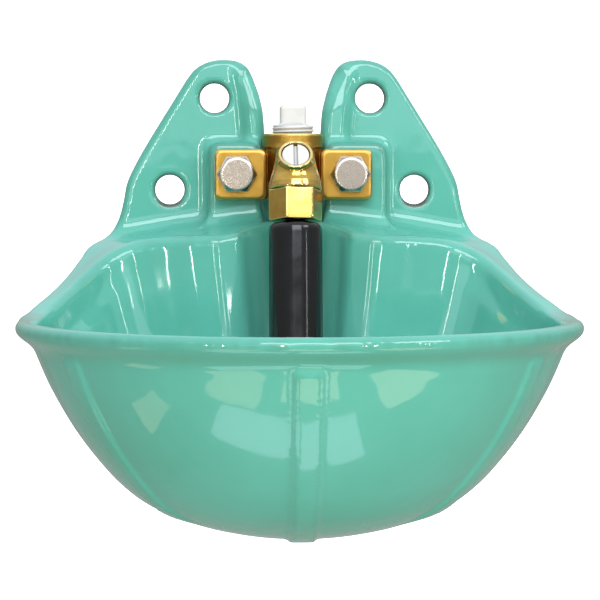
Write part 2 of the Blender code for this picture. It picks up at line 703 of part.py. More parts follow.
def valve_body():
    """The brass body: tee, flange, bridge, nose and screw boss, with its waterways."""
    tee_profile = (
        (0.0, TEE_TOP), (TEE_RADIUS - TEE_EDGE, TEE_TOP), (TEE_RADIUS, TEE_TOP - TEE_EDGE),
        (TEE_RADIUS, TEE_FOOT + TEE_EDGE), (TEE_RADIUS - TEE_EDGE, TEE_FOOT), (0.0, TEE_FOOT),
    )
    body = turned("valve_body", tee_profile, BRASS, placed((0.0, TEE_Y, 0.0)), FINE_STEPS)
    plate_outline = (
        (-FLANGE_HALF, FLANGE_FOOT), (FLANGE_HALF, FLANGE_FOOT),
        (FLANGE_HALF, FLANGE_TOP), (-FLANGE_HALF, FLANGE_TOP),
    )
    flange = slab(
        "join_flange", plate_outline, FLANGE_BACK - FLANGE_FRONT,
        place=placed((0.0, FLANGE_FRONT, 0.0), math.pi / 2), edge=0.9 * MM,
    )
    bridge_outline = (
        (-BRIDGE_HALF, BRIDGE_FOOT), (BRIDGE_HALF, BRIDGE_FOOT),
        (BRIDGE_HALF, BRIDGE_TOP), (-BRIDGE_HALF, BRIDGE_TOP),
    )
    bridge = slab(
        "join_bridge", bridge_outline, 33.0 * MM,
        place=placed((0.0, -54.0 * MM, 0.0), math.pi / 2), edge=2.5 * MM, segments=3,
    )
    outside = [(0.0, NOSE_OUTSIDE[-1][0] * MM)]
    outside += [(r * MM, s * MM) for s, r in reversed(NOSE_OUTSIDE)]
    outside += [(SPIGOT_RADIUS, NOSE_OUTSIDE[0][0] * MM), (SPIGOT_RADIUS, SPIGOT_FOOT), (0.0, SPIGOT_FOOT)]
    nose = turned("join_nose", outside, place=placed(AXIS_POINT, -LEAN), steps=FINE_STEPS)
    tilt = math.pi / 2 - SCREW_PITCH_UP
    boss_profile = (
        (0.0, SCREW_FACE), (BOSS_RADIUS - 0.6 * MM, SCREW_FACE), (BOSS_RADIUS, SCREW_FACE - 0.6 * MM),
        (BOSS_RADIUS, -3.0 * MM), (0.0, -3.0 * MM),
    )
    boss = turned("join_boss", boss_profile, place=placed(SCREW_MEET, tilt, -OFF_TURN))
    unite(body, flange, bridge, nose, boss)
    cut(body, post("cut_waterway", WATERWAY_RADIUS, -60.0 * MM, 60.0 * MM, (0.0, TEE_Y, 0.0)))
    cut(body, post("cut_port_top", PORT_RADIUS, TEE_TOP - PORT_DEPTH, 60.0 * MM, (0.0, TEE_Y, 0.0)))
    cut(body, post("cut_port_foot", PORT_RADIUS, -60.0 * MM, TEE_FOOT + PORT_DEPTH, (0.0, TEE_Y, 0.0)))
    cut(body, post("cut_chamber", CHAMBER_RADIUS, -20.0 * MM, CHAMBER_TOP, AXIS_POINT, -LEAN))
    cut(body, post("cut_throat", THROAT_RADIUS, 0.0, THROAT_TOP, AXIS_POINT, -LEAN, 32))
    feed_long = TEE_Y - SCREW_MEET.y
    feed = post(
        "cut_feed", THROAT_RADIUS, 0.0, feed_long, (0.0, TEE_Y, FEED_Z), math.pi / 2, 32
    )
    cut(body, feed)
    cut(body, post("cut_screw_bore", SCREW_BORE, SCREW_BORE_FLOOR, 40.0 * MM, SCREW_MEET, tilt))
    cut(body, post("cut_screw_head", COUNTERBORE_RADIUS, COUNTERBORE_FLOOR, 40.0 * MM, SCREW_MEET, tilt))
    for name, x in (("right", BOLT_X), ("left", -BOLT_X)):
        hole = post("cut_flange_" + name, BOLT_HOLE, 0.0, 60.0 * MM, (x, 0.0, BOLT_Z), math.pi / 2, 32)
        cut(body, hole)
    return body


def hexagon(flats, turn=0.0):
    """The corners of a hexagon, anticlockwise, with its first corner turned from local X."""
    corner = flats / math.sqrt(3.0)
    return [
        (corner * math.cos(turn + math.radians(60.0 * i)), corner * math.sin(turn + math.radians(60.0 * i)))
        for i in range(6)
    ]


def chamfered_hexagon(name, flats, low, high, look, place, turn=0.0, both=True):
    """A hexagon prism whose corners are turned off at its ends."""
    made = slab(name, hexagon(flats, turn), high - low, look, place @ Matrix.Translation((0.0, 0.0, high)))
    corner = flats / math.sqrt(3.0)
    edge = flats / 2.0 * 0.985
    slope = (corner * 1.02 - edge) * 0.55
    foot = slope if both else 0.0
    profile = (
        (0.0, high), (edge, high), (corner * 1.02, high - slope),
        (corner * 1.02, low + foot), (edge if both else corner * 1.02, low), (0.0, low),
    )
    off = Matrix.Rotation(-OFF_TURN, 4, "Z")
    keeper = turned("keep_" + name, profile, place=place @ off, steps=FINE_STEPS)
    boolean(made, keeper, "INTERSECT")
    return made


def tube_nut():
    """The union nut that holds the tube."""
    place = placed(AXIS_POINT, -LEAN)
    nut = chamfered_hexagon("tube_nut", NUT_FLATS, NUT_FOOT, NUT_TOP, BRASS, place, NUT_TURN)
    floor = NUT_FOOT + NUT_LIP_THICK
    cut(nut, post("cut_nut_bore", SPIGOT_RADIUS + GAP, floor, 20.0 * MM, AXIS_POINT, -LEAN))
    cut(nut, post("cut_nut_lip", NUT_LIP, -20.0 * MM, 20.0 * MM, AXIS_POINT, -LEAN))
    return nut


def washer(name, inner, outer, low, high, look, steps=STEPS):
    """A flat ring about the leaning axis."""
    profile = ((outer, high), (outer, low), (inner, low), (inner, high))
    return turned(name, profile, look, placed(AXIS_POINT, -LEAN), steps, ring=True)


def actuating_tube():
    """The tube, with its head and neck. Its origin is at the point that it tilts about."""
    shift = -PIVOT
    outer = [(HEAD_RADIUS - 0.5 * MM, HEAD_TOP + shift), (HEAD_RADIUS, HEAD_TOP - 0.4 * MM + shift)]
    outer += [(HEAD_RADIUS, HEAD_FOOT + shift), (NECK_RADIUS, HEAD_FOOT + shift)]
    outer += [(NECK_RADIUS, SHOULDER[0][0] * MM + shift)]
    outer += [(r * MM, s * MM + shift) for s, r in SHOULDER]
    outer += [(TUBE_RADIUS, TUBE_END + 0.8 * MM + shift), (TUBE_RADIUS - 0.8 * MM, TUBE_END + shift)]
    inner = [(TUBE_BORE, TUBE_END + shift), (TUBE_BORE, TUBE_ROOF - 3.0 * MM + shift)]
    inner += [(TUBE_WATERWAY, TUBE_ROOF + 2.0 * MM + shift), (TUBE_WATERWAY, HEAD_TOP + shift)]
    return turned(
        "actuating_tube", outer + inner, PLASTIC_BLACK, placed(on_axis(PIVOT), -LEAN),
        FINE_STEPS, ring=True,
    )


def seat_ring():
    """The brass ring with a raised lip that the valve shuts on."""
    outer = CHAMBER_RADIUS - GAP
    lip = SEAT_BORE + SEAT_LIP_WIDTH
    profile = (
        (lip, SEAT_LIP), (lip, SEAT_TOP), (outer, SEAT_TOP), (outer, SEAT_FOOT),
        (SEAT_BORE, SEAT_FOOT), (SEAT_BORE, SEAT_LIP),
    )
    return turned("seat_ring", profile, BRASS, placed(AXIS_POINT, -LEAN), ring=True)


def valve_stem():
    """The stem with the foot that the tube's head lifts."""
    profile = (
        (0.0, STEM_TOP), (STEM_RADIUS - 0.4 * MM, STEM_TOP), (STEM_RADIUS, STEM_TOP - 0.4 * MM),
        (STEM_RADIUS, FOOT_HIGH), (FOOT_RADIUS, FOOT_HIGH), (FOOT_RADIUS, FOOT_LOW + 0.3 * MM),
        (FOOT_RADIUS - 0.3 * MM, FOOT_LOW), (0.0, FOOT_LOW),
    )
    return turned("valve_stem", profile, BRASS, placed(AXIS_POINT, -LEAN))


def valve_inside():
    """Seal, disc and nut on the stem, from the seat upwards. Returns the disc's top."""
    bore = STEM_RADIUS + GAP
    low = SEAT_LIP + GAP
    high = low + DISC_SEAL_THICK
    washer("disc_seal", bore, DISC_SEAL_RADIUS, low, high, RUBBER)
    low = high + GAP
    high = low + DISC_THICK
    washer("valve_disc", bore, DISC_RADIUS, low, high, BRASS)
    top = high
    low = high + GAP
    place = placed(AXIS_POINT, -LEAN)
    nut = chamfered_hexagon("stem_nut", STEM_NUT_FLATS, low, low + STEM_NUT_THICK, BRASS, place)
    cut(nut, post("cut_stem_nut", bore, 0.0, 20.0 * MM, AXIS_POINT, -LEAN, 24))
    return top


def valve_spring(disc_top):
    """The coil between the disc and the roof of the chamber, as one unbroken tube."""
    low = disc_top + SPRING_WIRE + GAP
    high = CHAMBER_TOP - SPRING_WIRE - GAP
    count = int(SPRING_CURLS * SPRING_POINTS)
    points = []
    for i in range(count + 1):
        angle = math.tau * i / SPRING_POINTS
        height = low + (high - low) * i / count
        points.append((SPRING_MEAN * math.cos(angle), SPRING_MEAN * math.sin(angle), height))
    rise = (high - low) / SPRING_CURLS
    print("least gap of the spring to itself, mm: %.2f" % ((rise - 2.0 * SPRING_WIRE) / MM))
    curve = bpy.data.curves.new("valve_spring", "CURVE")
    curve.dimensions = "3D"
    curve.bevel_depth = SPRING_WIRE
    curve.bevel_resolution = 1
    curve.use_fill_caps = True
    line = curve.splines.new("POLY")
    line.points.add(len(points) - 1)
    for spot, (x, y, z) in zip(line.points, points):
        spot.co = (x, y, z, 1.0)
    curve.materials.append(SPRING_STEEL)
    made = bpy.data.objects.new("valve_spring", curve)
    made.matrix_world = placed(AXIS_POINT, -LEAN)
    PARTS.objects.link(made)
    return made


def adjusting_screw():
    """The slotted screw that throttles the feed, and its O-ring."""
    tilt = math.pi / 2 - SCREW_PITCH_UP
    top = SCREW_FACE - 0.4 * MM
    under = top - SCREW_HEAD_THICK
    groove_high = O_RING_AT + O_RING_SECTION + GAP
    groove_low = O_RING_AT - O_RING_SECTION - GAP
    profile = (
        (0.0, top), (SCREW_HEAD - 0.7 * MM, top), (SCREW_HEAD, top - 0.7 * MM), (SCREW_HEAD, under),
        (SCREW_SHANK, under), (SCREW_SHANK, groove_high), (O_RING_GROOVE, groove_high),
        (O_RING_GROOVE, groove_low), (SCREW_SHANK, groove_low), (SCREW_SHANK, SCREW_TIP + 1.2 * MM),
        (2.4 * MM, SCREW_TIP), (0.0, SCREW_TIP),
    )
    screw = turned("adjusting_screw", profile, PLASTIC_WHITE, placed(SCREW_MEET, tilt), FINE_STEPS)
    half = SCREW_SLOT / 2.0
    reach = SCREW_HEAD + 2.0 * MM
    outline = ((-half, -reach), (half, -reach), (half, reach), (-half, reach))
    slot = slab(
        "cut_slot", outline, SCREW_SLOT_DEPTH + 2.0 * MM,
        place=placed(SCREW_MEET, tilt) @ Matrix.Translation((0.0, 0.0, top + 2.0 * MM)),
    )
    cut(screw, slot)
    ring = [
        (
            O_RING_MEAN + O_RING_SECTION * math.cos(-math.tau * i / 12),
            O_RING_AT + O_RING_SECTION * math.sin(-math.tau * i / 12),
        )
        for i in range(12)
    ]
    turned("screw_o_ring", ring, RUBBER, placed(SCREW_MEET, tilt), 32, ring=True)


def top_plug():
    """The white plug that shuts the upper port."""
    foot = TEE_TOP - PLUG_THREAD_LONG
    collar = TEE_TOP + GAP
    high = collar + PLUG_COLLAR
    profile = (
        (0.0, high), (PLUG_COLLAR_RADIUS - 0.7 * MM, high), (PLUG_COLLAR_RADIUS, high - 0.7 * MM),
        (PLUG_COLLAR_RADIUS, collar), (PLUG_THREAD_RADIUS, collar),
        (PLUG_THREAD_RADIUS, foot + 0.8 * MM), (PLUG_THREAD_RADIUS - 0.8 * MM, foot), (0.0, foot),
    )
    plug = turned("top_plug", profile, PLASTIC_WHITE, placed((0.0, TEE_Y, 0.0)), FINE_STEPS)
    half = PLUG_SQUARE / 2.0
    outline = ((-half, -half), (half, -half), (half, half), (-half, half))
    square = slab(
        "join_square", outline, PLUG_SQUARE_HIGH + 1.3 * MM, edge=0.8 * MM,
        place=Matrix.Translation((0.0, TEE_Y, high + PLUG_SQUARE_HIGH)),
    )
    unite(plug, square)
    hollow = post("cut_plug", 6.5 * MM, foot - 5.0 * MM, TEE_TOP - 1.0 * MM, (0.0, TEE_Y, 0.0))
    cut(plug, hollow)
    return plug


def bolt(name, x):
    """A hexagon bolt through the flange into its pad."""
    place = placed((x, FLANGE_FRONT - GAP, BOLT_Z), math.pi / 2)
    head = chamfered_hexagon(name, BOLT_FLATS, 0.0, BOLT_HEAD, STEEL, place, 0.0, both=False)
    shank_profile = (
        (0.0, 1.0 * MM), (BOLT_SHANK, 1.0 * MM), (BOLT_SHANK, 0.8 * MM - BOLT_LENGTH),
        (BOLT_SHANK - 0.8 * MM, -BOLT_LENGTH), (0.0, -BOLT_LENGTH),
    )
    off = Matrix.Rotation(OFF_TURN, 4, "Z")
    unite(head, turned("join_shank_" + name, shank_profile, place=place @ off, steps=32))
    return head


bowl_casting()
valve_body()
tube_nut()
washer(
    "nut_gasket", CHAMBER_RADIUS + GAP, SPIGOT_RADIUS,
    SPIGOT_FOOT - GAP - GASKET_THICK, SPIGOT_FOOT - GAP, RUBBER,
)
washer(
    "tube_seal_ring", NECK_RADIUS + GAP, SEAL_RING_RADIUS,
    SEAL_RING_TOP - SEAL_RING_THICK, SEAL_RING_TOP, RUBBER,
)
actuating_tube()
seat_ring()
valve_stem()
valve_spring(valve_inside())
adjusting_screw()
top_plug()
bolt("bolt_right", BOLT_X)
bolt("bolt_left", -BOLT_X)
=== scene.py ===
"""Looks of a cast iron drinking bowl for livestock, with its brass tilt valve and tube.

The casting, the valve's forging and the turned and moulded pieces are described as
signed distances in millimetres, so that neighbouring forms flow into each other as cast
and forged metal does, and are then skinned with an even net of faces.
"""

import logging
import math
from dataclasses import dataclass, field
from enum import Enum
from itertools import product
from typing import Callable, Sequence

import bpy
import numpy as np
from mathutils import Matrix, Vector


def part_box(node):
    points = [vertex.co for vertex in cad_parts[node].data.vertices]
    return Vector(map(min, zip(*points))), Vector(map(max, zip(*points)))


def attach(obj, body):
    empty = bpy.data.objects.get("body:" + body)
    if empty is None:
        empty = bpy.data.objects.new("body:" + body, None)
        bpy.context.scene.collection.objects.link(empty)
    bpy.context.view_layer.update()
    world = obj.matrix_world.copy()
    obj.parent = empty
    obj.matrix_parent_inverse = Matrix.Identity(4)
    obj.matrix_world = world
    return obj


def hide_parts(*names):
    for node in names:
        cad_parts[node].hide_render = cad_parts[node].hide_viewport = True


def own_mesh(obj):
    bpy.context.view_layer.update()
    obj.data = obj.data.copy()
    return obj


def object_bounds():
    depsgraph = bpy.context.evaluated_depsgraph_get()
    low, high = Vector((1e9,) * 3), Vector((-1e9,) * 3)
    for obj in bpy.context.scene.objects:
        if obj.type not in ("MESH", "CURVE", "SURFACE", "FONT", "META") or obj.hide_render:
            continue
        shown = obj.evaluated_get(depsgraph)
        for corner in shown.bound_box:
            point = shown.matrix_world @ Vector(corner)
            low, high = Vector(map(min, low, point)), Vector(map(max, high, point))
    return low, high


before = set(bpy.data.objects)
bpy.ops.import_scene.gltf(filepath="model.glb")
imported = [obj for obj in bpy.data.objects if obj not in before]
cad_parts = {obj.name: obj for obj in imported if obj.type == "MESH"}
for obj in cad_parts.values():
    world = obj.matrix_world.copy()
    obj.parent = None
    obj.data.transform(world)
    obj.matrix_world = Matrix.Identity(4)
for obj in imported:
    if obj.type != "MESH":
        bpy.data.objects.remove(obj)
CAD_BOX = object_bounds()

LOG = logging.getLogger("drinking_bowl")
MM = 0.001
Array = np.ndarray
Field = Callable[[Array, Array, Array], Array]
Colour = tuple[float, float, float, float]
Point = tuple[float, float, float]


def linear(code: str) -> Colour:
    """Turn an sRGB hex colour to linear.

    Args:
        code: Six hex digits, with or without a leading hash.

    Returns:
        Linear red, green, blue and an alpha of one.
    """
    digits = code.lstrip("#")
    parts = [int(digits[i:i + 2], 16) / 255.0 for i in (0, 2, 4)]
    turned = [c / 12.92 if c <= 0.04045 else ((c + 0.055) / 1.055) ** 2.4 for c in parts]
    return turned[0], turned[1], turned[2], 1.0


# Numbers and curves.


def monotone(pairs: Sequence[tuple[float, float]]) -> Callable[[Array], Array]:
    """Make a monotone cubic through pairs.

    Args:
        pairs: x and y, with x rising.

    Returns:
        A function of an array of x.
    """
    xs = np.array([p[0] for p in pairs], float)
    ys = np.array([p[1] for p in pairs], float)
    steps = np.diff(ys) / np.diff(xs)
    slopes = np.zeros(len(xs))
    same = steps[:-1] * steps[1:] > 0.0
    total = np.where(same, steps[:-1] + steps[1:], 1.0)
    slopes[1:-1] = np.where(same, 2.0 * steps[:-1] * steps[1:] / total, 0.0)

    def value(x: Array) -> Array:
        """Read the curve.

        Args:
            x: Where to read it.

        Returns:
            The curve's height.
        """
        x = np.clip(x, xs[0], xs[-1])
        i = np.clip(np.searchsorted(xs, x, side="right") - 1, 0, len(xs) - 2)
        wide = xs[i + 1] - xs[i]
        t = (x - xs[i]) / wide
        return (
            (2 * t**3 - 3 * t**2 + 1) * ys[i] + (t**3 - 2 * t**2 + t) * wide * slopes[i]
            + (3 * t**2 - 2 * t**3) * ys[i + 1] + (t**3 - t**2) * wide * slopes[i + 1]
        )

    return value


def join(a: Array, b: Array, soft: float) -> Array:
    """Union of two distances, with a fillet of about this size."""
    near = np.maximum(soft - np.abs(a - b), 0.0) / soft
    return np.minimum(a, b) - near * near * (soft * 0.25)


def meet(a: Array, b: Array, soft: float) -> Array:
    """Intersection of two distances, with a rounded edge of about this size."""
    return -join(-a, -b, soft)


def carve(a: Array, b: Array, soft: float) -> Array:
    """Take b from a, with a rounded edge of about this size."""
    return meet(a, -b, soft)


def smooth_step(x: Array, low: float, high: float) -> Array:
    """Rise smoothly from 0 at low to 1 at high."""
    t = np.clip((x - low) / (high - low), 0.0, 1.0)
    return t * t * (3.0 - 2.0 * t)


def outline_distance(x: Array, z: Array, outline: Sequence[tuple[float, float]]) -> Array:
    """Signed distance to a closed outline, negative inside.

    Args:
        x: First coordinate.
        z: Second coordinate, which broadcasts with the first.
        outline: Corners of the outline.

    Returns:
        The distance.
    """
    shape = np.broadcast(x, z).shape
    best = np.full(shape, 1e12)
    sign = np.ones(shape)
    count = len(outline)
    for i in range(count):
        ax, az = outline[i]
        bx, bz = outline[i - 1]
        ex, ez = bx - ax, bz - az
        wx, wz = x - ax, z - az
        t = np.clip((wx * ex + wz * ez) / (ex * ex + ez * ez), 0.0, 1.0)
        dx, dz = wx - ex * t, wz - ez * t
        best = np.minimum(best, dx * dx + dz * dz)
        up, down, side = z >= az, z < bz, ex * wz > ez * wx
        flip = (up & down & side) | (~up & ~down & ~side)
        sign = np.where(flip, -sign, sign)
    return sign * np.sqrt(best)


def rounded_curve(corners: Sequence[tuple[float, float]], times: int) -> list[tuple[float, float]]:
    """Round the corners of a closed outline by cutting them.

    Args:
        corners: Corners of the outline.
        times: How often the corners are cut.

    Returns:
        The rounder outline.
    """
    points = list(corners)
    for _ in range(times):
        cut: list[tuple[float, float]] = []
        for i, (ax, az) in enumerate(points):
            bx, bz = points[(i + 1) % len(points)]
            cut.append((0.75 * ax + 0.25 * bx, 0.75 * az + 0.25 * bz))
            cut.append((0.25 * ax + 0.75 * bx, 0.25 * az + 0.75 * bz))
        points = cut
    return points


@dataclass(frozen=True)
class Axis:
    """A straight axis in the plane of symmetry or beside it.

    Attributes:
        origin: A point on the axis, in millimetres.
        lean: Angle about X that tips local Z from upright, in radians.
        turn: Turn about the axis, in radians.
    """

    origin: Point
    lean: float = 0.0
    turn: float = 0.0

    def local(self, x: Array, y: Array, z: Array) -> tuple[Array, Array, Array]:
        """Turn row coordinates into local ones.

        Args:
            x, y, z: Across, towards the wall and up, in millimetres.

        Returns:
            Local x, y and z.
        """
        dx, dy, dz = x - self.origin[0], y - self.origin[1], z - self.origin[2]
        c, s = math.cos(self.lean), math.sin(self.lean)
        ly, lz = dy * c + dz * s, -dy * s + dz * c
        ct, st = math.cos(self.turn), math.sin(self.turn)
        return dx * ct + ly * st, -dx * st + ly * ct, lz

    def matrix(self) -> Matrix:
        """Give the placement in metres."""
        move = Matrix.Translation(Vector(self.origin) * MM)
        return move @ Matrix.Rotation(self.lean, 4, "X") @ Matrix.Rotation(self.turn, 4, "Z")


def drum(
    radial: Array, along: Array, radius: float | Array, low: float, high: float, soft: float
) -> Array:
    """Distance to a round drum with rounded rims."""
    ends = np.maximum(low - along, along - high)
    return meet(radial - radius, ends, soft)


def hexagon(x: Array, y: Array, flats: float, soft: float) -> Array:
    """Distance to a hexagon across its flats, first corner along X.

    Args:
        x: Across the axis, in millimetres.
        y: Across it the other way.
        flats: Size across the flats.
        soft: Rounding of the corners.

    Returns:
        The distance.
    """
    best = None
    for i in range(3):
        angle = math.radians(30.0 + 60.0 * i)
        side = np.abs(x * math.cos(angle) + y * math.sin(angle)) - flats / 2.0
        best = side if best is None else meet(best, side, soft)
    return best


# Skinning.


@dataclass
class Skin:
    """Points and faces of a skinned form, in millimetres."""

    points: Array
    faces: Array

    def neighbours_mean(self, values: Array) -> Array:
        """Average each point's values over the points that share an edge with it.

        Args:
            values: One row of values for each point.

        Returns:
            The averages.
        """
        total = np.zeros_like(values)
        count = np.zeros(len(values))
        for i in range(4):
            a, b = self.faces[:, i], self.faces[:, (i + 1) % 4]
            for here, there in ((a, b), (b, a)):
                count += np.bincount(here, minlength=len(values))
                for k in range(values.shape[1]):
                    total[:, k] += np.bincount(here, values[there, k], minlength=len(values))
        return total / np.maximum(count, 1.0)[:, None]

    def relax(self, times: int) -> None:
        """Smooth the points, keeping the volume.

        Args:
            times: How often the values are averaged.
        """
        for _ in range(times):
            self.points += 0.5 * (self.neighbours_mean(self.points) - self.points)
            self.points -= 0.52 * (self.neighbours_mean(self.points) - self.points)

    def clip(self, box: Sequence[Sequence[float]]) -> None:
        """Keep the points inside a box that is given in metres."""
        low, high = np.array(box) / MM
        self.points = np.clip(self.points, low, high)

    def normals(self) -> Array:
        """Give the points' unit normals.

        Returns:
            One unit vector for each point.
        """
        a, b, c, d = (self.points[self.faces[:, i]] for i in range(4))
        across = np.cross(c - a, d - b)
        total = np.zeros_like(self.points)
        for i in range(4):
            for k in range(3):
                total[:, k] += np.bincount(self.faces[:, i], across[:, k], minlength=len(total))
        return total / np.maximum(np.linalg.norm(total, axis=1), 1e-9)[:, None]

    def convexity(self, times: int) -> Array:
        """Say how convex the surface is at each point, from about -1 in a fillet to 1 on an edge.

        Args:
            times: How often the values are averaged.

        Returns:
            One number for each point.
        """
        bulge = np.sum((self.points - self.neighbours_mean(self.points)) * self.normals(), axis=1)
        size = np.median(np.linalg.norm(
            self.points[self.faces[:, 0]] - self.points[self.faces[:, 1]], axis=1))
        bulge = (bulge / (size * size) * 4.0)[:, None]
        for _ in range(times):
            bulge = 0.4 * bulge + 0.6 * self.neighbours_mean(bulge)
        return np.clip(bulge[:, 0], -1.0, 1.0)


def slope(shape: Field, points: Array, reach: float) -> Array:
    """Gradient of a distance at points, by central differences.

    Args:
        shape: The distance.
        points: The places.
        reach: Half the step between samples.

    Returns:
        One vector for each place.
    """
    x, y, z = points.T
    return np.stack([
        shape(x + reach, y, z) - shape(x - reach, y, z),
        shape(x, y + reach, z) - shape(x, y - reach, z),
        shape(x, y, z + reach) - shape(x, y, z - reach),
    ], axis=1) / (2.0 * reach)


def skin(shape: Field, low: Point, high: Point, pitch: float, settle: int = 3) -> Skin:
    """Skin a distance field with an even net of four-sided faces.

    Args:
        shape: Distance in millimetres, negative inside.
        low: Lowest corner of the space.
        high: Highest corner of the space.
        pitch: Size of a face.
        settle: How often points are moved on to the exact surface.

    Returns:
        The skin.
    """
    lines = [np.arange(low[k] - 1.5 * pitch, high[k] + 2.5 * pitch, pitch) for k in range(3)]
    wide = [len(line) for line in lines]
    values = np.broadcast_to(shape(*np.ix_(*lines)), wide).astype(np.float32)
    inside = values < 0.0
    nx, ny, nz = (n - 1 for n in inside.shape)
    count = np.zeros((nx, ny, nz), np.int8)
    for i, j, k in product((0, 1), repeat=3):
        count += inside[i:nx + i, j:ny + j, k:nz + k]
    cells = np.argwhere((count > 0) & (count < 8))
    number = np.full(count.shape, -1, np.int64)
    number[tuple(cells.T)] = np.arange(len(cells))
    # Each cell's point is the mean of the places where the surface crosses its edges.
    total = np.zeros((len(cells), 3))
    hits = np.zeros(len(cells))
    for axis, a, b in product(range(3), (0, 1), (0, 1)):
        start = np.insert([a, b], axis, 0)
        end = np.insert([a, b], axis, 1)
        v0, v1 = (values[tuple((cells + corner).T)] for corner in (start, end))
        cross = (v0 < 0.0) != (v1 < 0.0)
        t = np.where(cross, v0 / np.where(cross, v0 - v1, 1.0), 0.0)
        spot = np.repeat(start[None, :].astype(float), len(cells), axis=0)
        spot[:, axis] += t
        total += spot * cross[:, None]
        hits += cross
    first = np.array([line[0] for line in lines])
    points = (cells + total / hits[:, None]) * pitch + first
    faces = []
    for axis in range(3):
        u, v = (axis + 1) % 3, (axis + 2) % 3
        v0, v1 = np.delete(inside, -1, axis), np.delete(inside, 0, axis)
        edges = np.argwhere(v0 != v1)
        edges = edges[(edges[:, u] > 0) & (edges[:, v] > 0)]
        corner = []
        for du, dv in ((-1, -1), (0, -1), (0, 0), (-1, 0)):
            shift = np.zeros(3, np.int64)
            shift[u], shift[v] = du, dv
            corner.append(number[tuple((edges + shift).T)])
        quad = np.stack(corner, axis=1)
        outwards = v0[tuple(edges.T)]
        faces.append(np.where(outwards[:, None], quad, quad[:, ::-1]))
    made = Skin(points, np.concatenate(faces))
    for _ in range(settle):
        gradient = slope(shape, made.points, 0.2 * pitch)
        size = np.maximum(np.sum(gradient * gradient, axis=1), 0.05)
        move = gradient * (shape(*made.points.T) / size)[:, None]
        long = np.linalg.norm(move, axis=1)
        made.points -= move * np.minimum(1.0, 0.5 * pitch / np.maximum(long, 1e-9))[:, None]
    return made


def piece_from_skin(name: str, made: Skin, material: bpy.types.Material) -> bpy.types.Object:
    """Make a smooth-shaded object from a skin.

    Args:
        name: Name of the object.
        made: The skin, in millimetres.
        material: Its material.

    Returns:
        The object, linked into the scene.
    """
    mesh = bpy.data.meshes.new(name)
    count = len(made.faces)
    mesh.vertices.add(len(made.points))
    mesh.vertices.foreach_set("co", (made.points * MM).astype(np.float32).ravel())
    mesh.loops.add(4 * count)
    mesh.loops.foreach_set("vertex_index", made.faces.astype(np.int32).ravel())
    mesh.polygons.add(count)
    mesh.polygons.foreach_set("loop_start", np.arange(0, 4 * count, 4, dtype=np.int32))
    mesh.polygons.foreach_set("use_smooth", np.ones(count, bool))
    mesh.update(calc_edges=True)
    mesh.materials.append(material)
    item = bpy.data.objects.new(name, mesh)
    bpy.context.scene.collection.objects.link(item)
    return item


def lathe(profile: Sequence[tuple[float, float]], steps: int) -> Skin:
    """Turn a closed profile about the Z axis.

    Args:
        profile: Radius and height pairs, outer side from top to bottom and then back up inside.
        steps: Faces round the axis.

    Returns:
        The skin, with its bores open.
    """
    angles = np.linspace(0.0, math.tau, steps, endpoint=False)
    radius, height = np.array(profile).T
    points = np.stack([
        np.outer(np.cos(angles), radius), np.outer(np.sin(angles), radius),
        np.repeat(height[None, :], steps, axis=0),
    ], axis=2).reshape(-1, 3)
    count = len(profile)
    i, j = np.arange(steps)[:, None], np.arange(count)[None, :]
    here, there = i * count, ((i + 1) % steps) * count
    after = (j + 1) % count
    faces = np.stack([here + j, here + after, there + after, there + j], axis=2)
    return Skin(points, faces.reshape(-1, 4))


# Materials.


def add_node(
    tree: bpy.types.NodeTree, kind: str, settings: dict[str, object] | None = None,
    inputs: dict[str | int, object] | None = None,
) -> bpy.types.Node:
    """Add a node with its settings, values and links.

    Args:
        tree: The node tree.
        kind: The node's type name.
        settings: Values of the node's own properties.
        inputs: For each input, a value or an output socket to link from.

    Returns:
        The node.
    """
    made = tree.nodes.new(kind)
    for key, value in (settings or {}).items():
        setattr(made, key, value)
    for key, value in (inputs or {}).items():
        if isinstance(value, bpy.types.NodeSocket):
            tree.links.new(value, made.inputs[key])
        else:
            made.inputs[key].default_value = value
    return made


class Metal(Enum):
    """Whether a finish is bare metal."""

    NO = 0.0
    YES = 1.0


